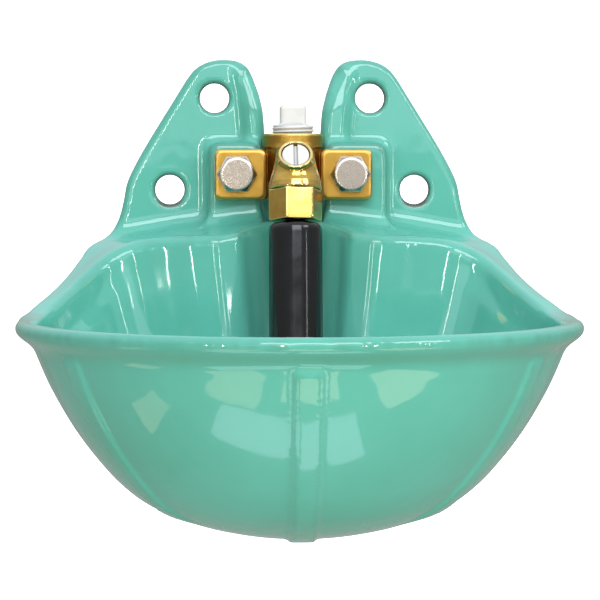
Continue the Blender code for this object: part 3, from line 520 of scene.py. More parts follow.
@dataclass(frozen=True)
class Finish:
    """A surface whose colour and roughness vary, with grain, with wear where it is convex, and with
    painted shade darkening its fillets.

    Attributes:
        name: Name of the material, from the real stuff and process.
        base: Main colour.
        other: Colour it varies towards.
        metal: Whether it is bare metal.
        roughness: Middle roughness.
        spread: How far the roughness varies.
        blotch_mm: Size of the colour's variation.
        grain_mm: Size of the bumps.
        grain_depth_mm: Depth of the bumps.
        wave_mm: Size of the slow waves in the surface, where it has them.
        wave_depth_mm: Depth of the waves.
        ior: Index of refraction where it isn't metal.
        wear: Colour on convex edges.
        shade: Painted shade, a darker colour laid in fillets.
        over: Name of a mask on the mesh, and the finish shown where the mask is one.
    """

    name: str
    base: str
    other: str
    metal: Metal
    roughness: float
    spread: float
    blotch_mm: float
    grain_mm: float
    grain_depth_mm: float
    wave_mm: float = 0.0
    wave_depth_mm: float = 0.0
    ior: float = 1.5
    wear: str = ""
    shade: str = ""
    over: "tuple[str, Finish] | None" = None

    def surface(
        self, tree: bpy.types.NodeTree, where: bpy.types.NodeSocket,
    ) -> tuple[bpy.types.NodeSocket, bpy.types.NodeSocket]:
        """Build the nodes that give the colour and the roughness.

        Args:
            tree: The node tree.
            where: The place on the object.

        Returns:
            The colour's and the roughness's sockets.
        """
        blotch = add_node(tree, "ShaderNodeTexNoise", None, {
            "Vector": where, "Scale": 1000.0 / self.blotch_mm, "Detail": 4.0, "Roughness": 0.55,
        }).outputs["Fac"]
        share = add_node(tree, "ShaderNodeMapRange", None, {
            "Value": blotch, "From Min": 0.34, "From Max": 0.66,
        }).outputs["Result"]
        colour = add_node(tree, "ShaderNodeMix", {"data_type": "RGBA"}, {
            "Factor": share, 6: linear(self.base), 7: linear(self.other),
        }).outputs[2]
        rough = add_node(tree, "ShaderNodeMapRange", None, {
            "Value": blotch, "From Min": 0.3, "From Max": 0.7,
            "To Min": max(self.roughness - self.spread, 0.0),
            "To Max": self.roughness + self.spread,
        }).outputs["Result"]
        return self.dress_edges(tree, colour), rough

    def dress_edges(
        self, tree: bpy.types.NodeTree, colour: bpy.types.NodeSocket,
    ) -> bpy.types.NodeSocket:
        """Colour convex edges with wear and darken fillets with painted shade, from the convexity
        stored on the mesh.

        Args:
            tree: The node tree.
            colour: Socket of the colour.

        Returns:
            Socket of the new colour.
        """
        if not (self.wear or self.shade):
            return colour
        stored = add_node(tree, "ShaderNodeAttribute", {"attribute_name": "convexity"})
        bulge = stored.outputs["Fac"]
        for code, low, high in ((self.wear, 0.10, 0.62), (self.shade, -0.08, -0.7)):
            if not code:
                continue
            share = add_node(tree, "ShaderNodeMapRange", None, {
                "Value": bulge, "From Min": low, "From Max": high,
            }).outputs["Result"]
            colour = add_node(tree, "ShaderNodeMix", {"data_type": "RGBA"}, {
                "Factor": share, 6: colour, 7: linear(code),
            }).outputs[2]
        return colour

    def make(self) -> bpy.types.Material:
        """Build the material.

        Returns:
            A Principled material whose colour, roughness and bump come from its nodes.
        """
        made = bpy.data.materials.new(self.name)
        made.use_nodes = True
        tree = made.node_tree
        shader = tree.nodes["Principled BSDF"]
        where = add_node(tree, "ShaderNodeTexCoord").outputs["Object"]
        colour, rough = self.surface(tree, where)
        if self.over is not None:
            mask, finish = self.over
            share = add_node(tree, "ShaderNodeAttribute", {"attribute_name": mask}).outputs["Fac"]
            over_colour, over_rough = finish.surface(tree, where)
            colour = add_node(tree, "ShaderNodeMix", {"data_type": "RGBA"}, {
                "Factor": share, 6: colour, 7: over_colour,
            }).outputs[2]
            rough = add_node(tree, "ShaderNodeMix", {"data_type": "FLOAT"}, {
                "Factor": share, 2: rough, 3: over_rough,
            }).outputs[0]
        bump = None
        bumps = ((self.wave_mm, self.wave_depth_mm), (self.grain_mm, self.grain_depth_mm))
        for size, depth in bumps:
            if not size:
                continue
            height = add_node(tree, "ShaderNodeTexNoise", None, {
                "Vector": where, "Scale": 1000.0 / size, "Detail": 2.0,
            }).outputs["Fac"]
            wanted = {"Strength": 1.0, "Distance": depth * MM, "Height": height}
            if bump is not None:
                wanted["Normal"] = bump
            bump = add_node(tree, "ShaderNodeBump", None, wanted).outputs["Normal"]
        tree.links.new(colour, shader.inputs["Base Color"])
        tree.links.new(rough, shader.inputs["Roughness"])
        tree.links.new(bump, shader.inputs["Normal"])
        shader.inputs["Metallic"].default_value = self.metal.value
        if self.metal is Metal.NO:
            shader.inputs["IOR"].default_value = self.ior
        return made


# Iron that the enamel ran off, with the brown of old sand and rust: dull and rough.
# In the holes' bores its dark colour also paints their shade.
BARE_IRON = Finish(
    "bare_cast_iron", "#5B5148", "#3C342E", Metal.NO, 0.6, 0.1, 3.0, 1.0, 0.05, ior=1.6,
)
# Porcelain enamel fired on sand-cast iron: glassy and wet-looking, a little wavy, and darker
# where it drew thin over edges.
# The darker colour in its fillets is painted shade.
ENAMEL = Finish(
    "fired_enamel_on_cast_iron", "#509F8B", "#57A593", Metal.NO, 0.06, 0.025, 60.0, 9.0, 0.03,
    wave_mm=34.0, wave_depth_mm=0.32, ior=1.52, wear="#3F7A68", shade="#4F9180",
    # Iron colour on the lower holes' lower lips, and in the holes' bores, where it also paints
    # their shade.
    over=("bare_and_bore_shade", BARE_IRON),
)
# Brass cut on a lathe: bright and sharper in its reflections, with painted shade in its fillets.
MACHINED_BRASS = Finish(
    "machined_brass", "#BF9E52", "#B38D42", Metal.YES, 0.11, 0.03, 6.0, 0.5, 0.004,
    wear="#DCC07C", shade="#6A4F22",
)
# Hot-forged brass, shot-blasted and left bare: satin and yellow-brown, and bright where it
# was cut.
# Its darker brown in fillets is painted shade.
FORGED_BRASS = Finish(
    "forged_brass", "#A9843C", "#9C7833", Metal.YES, 0.36, 0.06, 7.0, 0.7, 0.02,
    wear="#D8B468", shade="#7C5424", over=("machined", MACHINED_BRASS),
)
# Zinc-plated steel: pale, slightly warm and cloudy, with painted shade in its fillets.
ZINC_STEEL = Finish(
    "zinc_plated_steel", "#A69C90", "#93897E", Metal.YES, 0.27, 0.05, 3.5, 0.8, 0.008,
    wear="#D6CFC6", shade="#6C655D",
)
# Drawn stainless wire: smooth, with a bright line along each turn.
SPRING_WIRE = Finish(
    "drawn_stainless_wire", "#B8B8B6", "#A5A5A4", Metal.YES, 0.2, 0.04, 3.0, 0.4, 0.005,
)
# Injection-moulded nylon: milky, with a soft gloss, and grey painted shade in its fillets.
WHITE_NYLON = Finish(
    "moulded_white_nylon", "#C8C5BE", "#BFBDB6", Metal.NO, 0.34, 0.05, 5.0, 0.8, 0.012,
    ior=1.53, shade="#9A9B96",
)
# Moulded black plastic tube, polished by use: near-black with clear highlights.
BLACK_TUBE = Finish(
    "moulded_black_plastic", "#060505", "#0A090A", Metal.NO, 0.12, 0.04, 9.0, 2.5, 0.015,
    ior=1.42,
)
# Moulded nitrile rubber: dark grey and dull.
RUBBER = Finish(
    "nitrile_rubber", "#232323", "#2B2B2A", Metal.NO, 0.62, 0.08, 4.0, 0.6, 0.03, ior=1.52,
)


def make_piece(
    name: str, made: Skin, finish: Finish, place: Axis | None = None, blur: int = 1,
    masks: dict[str, Array] | None = None,
) -> bpy.types.Object:
    """Make a piece from its skin, and put it in its place.

    Args:
        name: Name of the piece.
        made: The skin, in millimetres.
        finish: Its finish.
        place: Where the skin stands, if it was made upright in its own place.
        blur: How often the convexity is averaged.
        masks: More values to store, one array for each name.

    Returns:
        The piece.
    """
    item = piece_from_skin(name, made, finish.make())
    for title, values in {"convexity": made.convexity(blur), **(masks or {})}.items():
        layer = item.data.attributes.new(title, "FLOAT", "POINT")
        layer.data.foreach_set("value", values.astype(np.float32))
    if place is not None:
        item.data.transform(place.matrix())
    return item


# The casting.

# Middle of the bowl's plan, and the point from which the bowl's forms are mapped.
CENTRE_Y = -115.0
HEART = (0.0, CENTRE_Y, -98.0)
# The tee's upright axis, and the bolts' axes, which casting and valve share.
TEE_Y = -17.0
BOLT_X = 27.5
BOLT_Z = -14.9
# Points round half a ring, and the map's directions round and upwards.
RING_POINTS = 1441
AZIMUTHS = 721
HEIGHTS = 541


@dataclass
class RoundMap:
    """A closed form seen from a point inside it, as a radius for each direction."""

    heart: Point
    radius: Array
    share: Array

    def distance(self, x: Array, y: Array, z: Array) -> Array:
        """Signed distance to the form, close to true near its surface.

        Args:
            x, y, z: Across, towards the wall and up, in millimetres.

        Returns:
            The distance.
        """
        dx, dy, dz = np.abs(x - self.heart[0]), self.heart[1] - y, z - self.heart[2]
        flat = np.sqrt(dx * dx + dy * dy)
        u = np.arctan2(dx, dy) * ((AZIMUTHS - 1) / math.pi)
        v = (np.arctan2(dz, flat) / math.pi + 0.5) * (HEIGHTS - 1)
        i = np.clip(u.astype(np.int32), 0, AZIMUTHS - 2)
        j = np.clip(v.astype(np.int32), 0, HEIGHTS - 2)
        fu, fv = u - i, v - j
        total = 0.0
        slant = 0.0
        for (di, wu), (dj, wv) in product(((0, 1.0 - fu), (1, fu)), ((0, 1.0 - fv), (1, fv))):
            weight = wu * wv
            total = total + self.radius[i + di, j + dj] * weight
            slant = slant + self.share[i + di, j + dj] * weight
        return (np.sqrt(flat * flat + dz * dz) - total) * slant

    @staticmethod
    def seen_from(heart: Point, rings: Sequence[tuple[Array, Array, Array]]) -> "RoundMap":
        """Make the map from rings of points.

        Args:
            heart: A point inside.
            rings: From the bottom up, the x, y and z of the right half of each ring.

        Returns:
            The map.
        """
        grid = np.linspace(0.0, math.pi, AZIMUTHS)
        flats, ups = np.zeros((2, len(rings), AZIMUTHS))
        for row, (x, y, z) in enumerate(rings):
            dx, dy = x - heart[0], heart[1] - y
            angle = np.arctan2(dx, dy)
            order = np.argsort(angle)
            flats[row] = np.interp(grid, angle[order], np.hypot(dx, dy)[order])
            ups[row] = np.interp(grid, angle[order], z[order]) - heart[2]
        steps = np.linspace(-math.pi / 2, math.pi / 2, HEIGHTS)
        radius = np.zeros((AZIMUTHS, HEIGHTS))
        for column in range(AZIMUTHS):
            lift = np.arctan2(ups[:, column], flats[:, column])
            reach = np.hypot(ups[:, column], flats[:, column])
            order = np.argsort(lift)
            radius[column] = np.interp(steps, lift[order], reach[order])
        # Facets of the rings are smoothed away.
        kernel = np.array([1.0, 4.0, 7.0, 9.0, 7.0, 4.0, 1.0])
        kernel /= kernel.sum()
        for axis in (0, 1):
            pad = [(3, 3) if k == axis else (0, 0) for k in range(2)]
            mode = "reflect" if axis == 0 else "edge"
            wide = np.pad(radius, pad, mode=mode)
            radius = sum(
                w * np.take(wide, range(k, k + radius.shape[axis]), axis=axis)
                for k, w in enumerate(kernel)
            )
        da = np.gradient(radius, math.pi / (AZIMUTHS - 1), axis=0)
        de = np.gradient(radius, math.pi / (HEIGHTS - 1), axis=1)
        around = np.maximum(radius * np.cos(steps)[None, :], 12.0)
        share = 1.0 / np.sqrt(1.0 + (da / around) ** 2 + (de / radius) ** 2)
        return RoundMap(heart, radius, share)


@dataclass
class BowlCasting:
    """The enamelled casting: bowl, rolled rim, deck, back plate with two ears, pads and ribs."""

    rim: tuple[Point, ...] = (
        (0.0, -242.3, -79.6), (127.4, -115.0, -79.6), (127.1, -85.0, -78.7), (121.6, -65.0, -74.2),
        (115.6, -50.0, -69.0), (109.8, -36.0, -62.6), (104.6, -22.0, -55.3), (100.6, -12.0, -49.6),
        (94.2, -4.0, -46.4), (88.5, 0.0, -44.8), (60.0, 0.0, -40.0), (30.0, 0.0, -36.5),
        (0.0, 0.0, -35.0),
    )
    crest: tuple[Point, ...] = (
        (0.0, -232.5, -80.2), (117.2, -115.0, -80.2), (115.0, -90.0, -79.0), (104.5, -66.0, -69.5),
        (93.0, -50.0, -58.0), (80.0, -44.0, -49.5), (64.0, -46.5, -45.5), (48.0, -51.5, -44.5),
        (36.0, -53.0, -44.0), (27.5, -49.5, -42.5), (20.5, -41.5, -40.0), (12.0, -36.0, -38.0),
        (0.0, -34.8, -37.4),
    )
    wall: tuple[tuple[float, float], ...] = (
        (118.5, -94.0), (115.6, -101.0), (112.5, -108.0), (104.9, -122.0), (98.8, -131.5),
        (90.8, -142.0), (81.8, -152.0), (70.2, -161.2), (55.0, -168.4), (40.0, -173.0),
        (21.7, -176.3), (0.0, -177.2),
    )
    ear: tuple[tuple[float, float], ...] = (
        (14.9, 5.0), (15.2, 11.0), (16.3, 22.5), (18.9, 31.5), (22.0, 37.5), (26.0, 40.5),
        (31.5, 41.4), (38.4, 41.2), (44.9, 39.0), (50.0, 34.8), (58.5, 21.0), (68.5, 5.0),
        (74.5, -5.0), (79.3, -14.0), (81.8, -20.0), (82.9, -27.0), (84.9, -35.5), (87.5, -41.3),
    )
    floor: float = -172.2
    under_lip: float = 14.4
    overhang: float = 9.0
    thick: float = 6.5
    lip: tuple[tuple[float, float], ...] = (
        (-9.0, -14.4), (-7.8, -12.1), (-5.6, -9.9), (-2.7, -8.0), (-0.8, -6.2), (0.0, -4.0),
        (0.0, 0.0),
    )
    hollow: tuple[tuple[float, float], ...] = (
        (-10.0, -28.7), (3.1, -28.7), (9.0, -29.4), (16.5, -34.6), (23.5, -42.4), (33.0, -46.3),
        (48.0, -45.0), (64.0, -40.0), (80.0, -37.5), (90.0, -37.0), (97.0, -28.0), (93.0, -14.0),
        (81.3, -5.0), (79.3, 9.0), (-10.0, 9.0),
    )
    holes: tuple[tuple[float, float], ...] = ((38.3, 22.5), (60.4, -22.5))
    rib_angles: tuple[float, ...] = (0.0, 56.5)
    rib_starts: tuple[float, ...] = (4.0, 50.0)
    rib_height: float = 1.5
    pads: tuple[float, float] = (41.5, 46.0)
    ridges: tuple[float, float] = (18.9, 20.9)
    ridge_halves: tuple[float, float] = (3.9, 5.7)
    plate_thick: float = 8.0
    pad_edge: float = 15.4
    # Radii of the wall holes, the bolts' tapped holes, the tee's niche and the pipe behind.
    hole_radius: float = 7.25
    tap_radius: float = 5.0
    niche_radius: float = 15.3
    pipe_radius: float = 11.2
    niche_foot: float = -39.6
    # The hollow's top, its height, and the share of it that its walls follow.
    hollow_top: float = -50.5
    hollow_high: float = 121.7
    hollow_end: float = 0.884
    # Least wall between the hollow and the inside.
    least_wall: float = 3.0
    # A point on the slanting foot of the side walls, and the foot's direction.
    foot_point: tuple[float, float] = (-80.0, -180.0)
    foot_way: tuple[float, float] = (0.5063, 0.8624)
    pitch: float = 1.5
    hull: RoundMap = field(init=False)
    inside: RoundMap = field(init=False)

    def __post_init__(self) -> None:
        """Work out the bowl's outer and inner forms."""
        self.rim_radius, self.rim_height = self.by_angle(self.rim)
        self.crest_radius, self.crest_height = self.by_angle(self.crest)
        self.fade = monotone([(math.radians(116.0), 1.0), (math.radians(139.0), 0.0)])
        places = range(len(self.wall))
        top, bottom = self.wall[0], self.wall[-1]
        self.across = monotone([(i, self.wall[i][0] / top[0]) for i in places])
        drop = bottom[1] - top[1]
        self.depth = monotone([(i, (self.wall[i][1] - top[1]) / drop) for i in places])
        self.across_at = monotone([
            ((z - top[1]) / (bottom[1] - top[1]), r / top[0]) for r, z in self.wall])
        self.hull = RoundMap.seen_from(HEART, self.outer_rings())
        self.inside = RoundMap.seen_from(HEART, self.inner_rings())

    @staticmethod
    def by_angle(
        line: Sequence[Point],
    ) -> tuple[Callable[[Array], Array], Callable[[Array], Array]]:
        """Turn a line of points into its radius and height at each angle from the front.

        Args:
            line: The points.

        Returns:
            The radius and the height, as functions of the angle in radians.
        """
        radius, height = [], []
        for x, y, z in line:
            angle = math.atan2(x, CENTRE_Y - y)
            radius.append((angle, math.hypot(x, CENTRE_Y - y)))
            height.append((angle, z))
        return monotone(radius), monotone(height)

    def outer_rings(self) -> list[tuple[Array, Array, Array]]:
        """Give the rings of the outer wall, carried on upwards past the lip.

        Returns:
            The right half of each ring, from the bottom up.
        """
        angle = np.linspace(0.0, math.pi, RING_POINTS)
        fade = self.fade(angle)
        # Behind the corner the plan runs on past the wall plane, where the plate cuts it off.
        corner = math.radians(141.0)
        past = 1.0 + 0.16 * smooth_step(angle, corner, math.radians(172.0))
        radius = (self.rim_radius(angle) - self.overhang * fade) * past
        start = self.rim_height(angle) - self.under_lip * (0.55 + 0.45 * fade)
        rings = []
        for place in np.linspace(len(self.wall) - 1, 0.0, 200):
            across, depth = float(self.across(place)), float(self.depth(place))
            fuller = min(1.0, 1.1 * (1.0 - depth**4.0) ** 0.5)
            along = np.where(angle < math.pi / 2, across, fuller)
            x = np.sin(angle) * radius * across
            y = CENTRE_Y - np.cos(angle) * radius * along
            rings.append((x, y, start + (self.wall[-1][1] - start) * depth))
        rows = range(len(self.lip))
        out = monotone([(i, self.lip[i][0]) for i in rows])
        down = monotone([(i, self.lip[i][1]) for i in rows])
        top_z = rings[-1][2]
        for place in np.linspace(0.05, len(self.lip) - 1, 60):
            reach = (self.rim_radius(angle) + float(out(place)) * fade) * past
            height = self.rim_height(angle) + float(down(place)) * (0.45 + 0.55 * fade)
            x, y = np.sin(angle) * reach, CENTRE_Y - np.cos(angle) * reach
            top_z = np.maximum(top_z + 0.02, height)
            rings.append((x, y, top_z))
        x, y, z = rings[-1]
        for lift in np.linspace(3.0, 140.0, 40):
            rings.append((x, y, z + lift))
        return rings

    def inner_rings(self) -> list[tuple[Array, Array, Array]]:
        """Give the rings of the inside, carried on upwards past the crest.

        Returns:
            The right half of each ring, from the bottom up.
        """
        angle = np.linspace(0.0, math.pi, RING_POINTS)
        fade = self.fade(angle)
        radius = self.crest_radius(angle)
        start = self.crest_height(angle) - 4.5 - 9.0 * fade
        rings = []
        for place in np.linspace(len(self.wall) - 1, 0.0, 200):
            across, depth = float(self.across(place)), float(self.depth(place))
            fuller = (1.0 - depth**3.2) ** 0.5
            shrink = 1.0 - (4.6 / radius) * fade * min(1.0, depth * 6.0 + 0.55)
            along = np.where(angle < math.pi / 2, across * shrink, fuller)
            x = np.sin(angle) * radius * across * shrink
            y = CENTRE_Y - np.cos(angle) * radius * along
            rings.append((x, y, start + (self.floor - start) * depth))
        top_x, top_y, top_z = rings[-1]
        for lift in np.linspace(0.15, 1.0, 8):
            x = top_x + (np.sin(angle) * radius - top_x) * lift
            y = top_y + (CENTRE_Y - np.cos(angle) * radius - top_y) * lift
            rings.append((x, y, top_z + (self.crest_height(angle) - top_z) * lift))
        x, y, z = rings[-1]
        for lift in np.linspace(4.0, 160.0, 40):
            rings.append((x, y, z + lift))
        return rings

    def ribs(self, x: Array, y: Array, z: Array) -> Array:
        """Height of the raised ribs on the outside, in millimetres.

        Args:
            x, y, z: Across, towards the wall and up, in millimetres.

        Returns:
            The height.
        """
        ahead = CENTRE_Y - y
        total = 0.0
        for degrees, start in zip(self.rib_angles, self.rib_starts):
            turn = math.radians(degrees)
            side = np.abs(x) * math.cos(turn) - ahead * math.sin(turn)
            forward = np.abs(x) * math.sin(turn) + ahead * math.cos(turn)
            strip = 1.0 - smooth_step(np.abs(side), 4.8, 7.2)
            reach = smooth_step(forward, start, start + 24.0) * (1.0 - smooth_step(z, -97.0, -91.0))
            total = np.maximum(total, strip * reach)
        return self.rib_height * total

    def plate(self, x: Array, y: Array, z: Array) -> Array:
        """Distance to the back plate, its ears, the ridges and the pads.

        Args:
            x, y, z: Across, towards the wall and up, in millimetres.

        Returns:
            The distance.
        """
        across = np.abs(x)
        notch = [(0.0, -27.3), (9.0, -27.3), (14.0, -26.0), (15.2, -22.3), (15.0, -14.0)]
        side = [*notch, *self.ear, (88.0, -47.5)]
        outline = side + [(-px, pz) for px, pz in reversed(side)]
        outline = rounded_curve(outline[1:-1], 1)
        flat = outline_distance(x, z, outline)
        half = self.plate_thick / 2.0
        whole = meet(flat, np.abs(y + half) - half, 3.4)
        # The right-hand ridge and pad are the broader ones.
        right = (x > 0.0).astype(int)
        middle, half = np.take(self.ridges, right), np.take(self.ridge_halves, right)
        lean = np.interp(z, [-20.0, 6.0, 16.0, 25.5, 33.0], [0.0, 0.0, 0.8, 3.0, 6.6])
        thin = 1.0 - smooth_step(z, 14.0, 37.0)
        ridge = np.abs(across - middle - lean) - half * (0.3 + 0.7 * thin)
        ridge = np.maximum(ridge, np.maximum(-z - 20.0, z - 35.0))
        ridge = meet(ridge, np.abs(y + 8.0) - (0.9 + 3.5 * thin), 4.4)
        whole = join(whole, ridge, 5.0)
        sides = meet(across - np.take(self.pads, right), self.pad_edge - across, 2.0)
        pad = meet(sides, meet(z - 0.6, -52.0 - z, 3.0), 7.0)
        pad = meet(pad, np.abs(y + 9.6) - 10.0, 2.6)
        return join(whole, pad, 4.5)

    def behind(self, x: Array, y: Array, z: Array, ceiling: Array) -> Array:
        """Distance to the hollow behind the back wall.

        Args:
            x, y, z: Across, towards the wall and up, in millimetres.
            ceiling: Distance to the hollow's ceiling.

        Returns:
            The distance.
        """
        deep = np.clip((self.hollow_top - z) / self.hollow_high, 0.0, self.hollow_end)
        wide = self.across_at(deep)
        far = np.sqrt(1.0 - deep**3.2)
        plan_y = (y - CENTRE_Y - 3.0 * deep) / far + CENTRE_Y
        flat = outline_distance(np.abs(x) / wide, plan_y, self.hollow) * 0.5 * (wide + far)
        return meet(flat, ceiling, 4.0)

    def shape(self, x: Array, y: Array, z: Array) -> Array:
        """Distance to the whole casting.

        Args:
            x, y, z: Across, towards the wall and up, in millimetres.

        Returns:
            The distance.
        """
        across = np.abs(x)
        angle = np.arctan2(across, CENTRE_Y - y)
        reach = np.hypot(x, CENTRE_Y - y)
        rim, rim_z = self.rim_radius(angle), self.rim_height(angle)
        crest, crest_z = self.crest_radius(angle), self.crest_height(angle)
        sides = self.hull.distance(x, y, z) - self.ribs(x, y, z)
        share = smooth_step((rim - reach) / np.maximum(rim - crest, 3.0), 0.0, 1.0)
        deck = z - (rim_z + (crest_z - rim_z) * share)
        whole = meet(sides, deck, 4.6)
        whole = join(whole, self.plate(x, y, z), 7.0)
        space = self.inside.distance(x, y, z)
        whole = carve(whole, space, 4.4)
        hollow = self.behind(x, y, z, deck + self.thick)
        hollow = meet(hollow, self.least_wall - space, 2.0)
        whole = carve(whole, hollow, 2.4)
        foot_y, foot_z = self.foot_point
        slant = (y - foot_y) * self.foot_way[0] - (z - foot_z) * self.foot_way[1]
        whole = meet(whole, slant, 2.0)
        post = np.hypot(x, y - TEE_Y)
        whole = carve(whole, np.maximum(post - self.niche_radius, self.niche_foot - z), 1.2)
        pipe = np.maximum(post - self.pipe_radius, np.maximum(-90.0 - z, z + 33.6))
        passage = np.maximum(across - self.pipe_radius, -19.0 - y)
        passage = np.maximum(passage, np.abs(z + 51.0) - 9.0)
        whole = carve(whole, np.minimum(pipe, passage), 1.2)
        for hx, hz in self.holes:
            bore = np.hypot(across - hx, z - hz)
            flare = self.hole_radius + 1.5 * smooth_step(-y, 6.2, 8.6)
            whole = carve(whole, bore - flare, 1.1)
        bolt = np.hypot(across - BOLT_X, z - BOLT_Z) - self.tap_radius
        whole = carve(whole, bolt, 0.6)
        return meet(whole, y, 0.9)

    def bare_and_bore_shade(self, x: Array, y: Array, z: Array) -> Array:
        """Say where enamel is missing: on the lower holes' lower lips, and in the holes, whose dark
        iron also paints shade.

        Args:
            x, y, z: Across, towards the wall and up, in millimetres.

        Returns:
            From 0 to 1 for each place.
        """
        across = np.abs(x)
        shown = np.zeros(len(x))
        for hx, hz in self.holes:
            reach = np.hypot(across - hx, z - hz)
            # The whole bore is painted iron-dark, which also paints the shade inside the hole.
            bore = (1.0 - smooth_step(reach, 7.3, 7.9)) * smooth_step(y, -7.6, -6.8)
            shown = np.maximum(shown, bore)
            if hz < 0.0:
                below = smooth_step(hz - z, 4.0, 7.0) * (1.0 - smooth_step(reach, 8.0, 9.6))
                shown = np.maximum(shown, below)
        return shown

    def build(self) -> bpy.types.Object:
        """Build and dress the casting.

        Returns:
            The piece.
        """
        made = skin(self.shape, (-128.0, -242.6, -180.0), (128.0, 0.0, 41.5), self.pitch, 3)
        made.relax(3)
        made.clip(CAD_BOX)
        masks = {"bare_and_bore_shade": self.bare_and_bore_shade(*made.points.T)}
        item = make_piece("bowl_enamel", made, ENAMEL, None, 3, masks)
        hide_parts("bowl_casting")
        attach(item, "fixed")
        return item


# The valve.

LEAN = math.radians(9.5)
NOSE_AXIS = Axis((0.0, -55.0, -29.75), -LEAN)
SCREW_AXIS = Axis((0.0, -52.0, -11.5), math.pi / 2 - math.radians(39.0))


@dataclass
class ValveBody:
    """The brass forging: upright tee, flange, bridge, nose and screw boss."""

    tee_radius: float = 14.95
    waist: float = 14.2
    tee_top: float = 4.8
    tee_foot: float = -26.9
    port: float = 9.6
    port_deep: float = 11.5
    flange_half: float = 38.3
    flange_inside: float = 13.2
    flange_z: float = -15.05
    flange_high: float = 24.7
    flange_thick: float = 8.0
    boss: float = 8.15
    # Height up the axis and radius.
    nose: tuple[tuple[float, float], ...] = (
        (7.5, 12.5), (8.6, 12.7), (11.0, 12.4), (13.4, 11.7), (16.0, 10.8), (19.2, 9.5),
        (24.0, 7.2), (28.0, 5.0),
    )
    spigot: float = 8.7
    chamber: float = 6.7
    bore: float = 3.5
    bolt_hole: float = 5.5
    pitch: float = 0.5

    def front(self, x: Array, y: Array, z: Array) -> Array:
        """Distance to the turned nose and the boss that grows from it.

        Args:
            x, y, z: Across, towards the wall and up, in millimetres.

        Returns:
            The distance.
        """
        lx, ly, s = NOSE_AXIS.local(x, y, z)
        reach = np.hypot(lx, ly)
        radius = np.interp(s, *zip(*self.nose))
        nose = meet(meet(reach - radius, s - 24.0, 5.0), 7.56 - s, 0.5)
        bx, by, k = SCREW_AXIS.local(x, y, z)
        side = np.hypot(bx, by)
        swell = drum(side, k, self.boss - 1.3, -6.0, 8.8, 0.8)
        ring = drum(side, k, self.boss, 6.0, 10.0, 0.4)
        return join(join(nose, swell, 5.0), ring, 0.7)

    def shape(self, x: Array, y: Array, z: Array) -> Array:
        """Distance to the forging with its bores.

        Args:
            x, y, z: Across, towards the wall and up, in millimetres.

        Returns:
            The distance.
        """
        round_ = np.hypot(x, y - TEE_Y)
        waist = drum(round_, z, self.waist, self.tee_foot, 2.0, 1.0)
        collar = drum(round_, z, self.tee_radius, -1.9, self.tee_top, 0.9)
        tee = join(collar, waist, 1.0)
        across = np.abs(x)
        flange = meet(across - self.flange_half, self.flange_inside - across, 1.0)
        flange = meet(flange, np.abs(z - self.flange_z) - self.flange_high / 2.0, 3.6)
        flange = meet(flange, np.abs(y + 24.0) - self.flange_thick / 2.0, 1.8)
        lx, ly, s = NOSE_AXIS.local(x, y, z)
        reach = np.hypot(lx, ly)
        spigot = drum(reach, s, self.spigot, -1.5, 9.0, 0.5)
        bridge = meet(across - 9.0, np.abs(z + 11.6) - 9.8, 5.0)
        bridge = meet(bridge, np.maximum(-54.0 - y, y + 21.0), 2.0)
        bx, by, k = SCREW_AXIS.local(x, y, z)
        side = np.hypot(bx, by)
        whole = join(join(tee, flange, 1.6), bridge, 3.0)
        whole = join(whole, self.front(x, y, z), 2.5)
        whole = np.minimum(whole, spigot)
        whole = carve(whole, round_ - 6.0, 0.4)
        middle = (self.tee_top + self.tee_foot) / 2.0
        high = (self.tee_top - self.tee_foot) / 2.0
        off = np.abs(z - middle)
        port = np.maximum(round_ - self.port, high - self.port_deep - off)
        mouth = np.maximum(round_ - self.port + (high - 0.9 - off) * 0.9, high - 4.0 - off)
        whole = carve(whole, np.minimum(port, mouth), 0.3)
        whole = carve(whole, drum(reach, s, self.chamber, -20.0, 15.0, 0.4), 0.3)
        whole = carve(whole, drum(reach, s, self.bore, 0.0, 19.0, 0.3), 0.3)
        feed = np.maximum(np.hypot(x, z + 11.5) - self.bore, np.maximum(-52.0 - y, y - TEE_Y))
        whole = carve(whole, feed, 0.3)
        whole = carve(whole, drum(side, k, 4.4, -0.8, 40.0, 0.2), 0.3)
        whole = carve(whole, drum(side, k, 6.85, 4.4, 40.0, 0.3), 0.3)
        bolts = np.hypot(across - BOLT_X, z - BOLT_Z) - self.bolt_hole
        return carve(whole, bolts, 0.5)

    def build(self) -> bpy.types.Object:
        """Build and dress the forging.

        Returns:
            The piece.
        """
        low, high = (-38.3, -66.5, self.tee_foot), (38.3, -2.2, 4.8)
        made = skin(self.shape, low, high, self.pitch, 4)
        made.clip(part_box("valve_body"))
        x, y, z = made.points.T
        cut = 1.0 - smooth_step(np.abs(self.front(x, y, z)), 0.2, 1.0)
        cut = np.maximum(cut, smooth_step(z, self.tee_top - 0.7, self.tee_top - 0.3))
        item = make_piece("valve_forging", made, FORGED_BRASS, None, 2, {"machined": cut})
        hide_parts("valve_body")
        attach(item, "fixed")
        return item


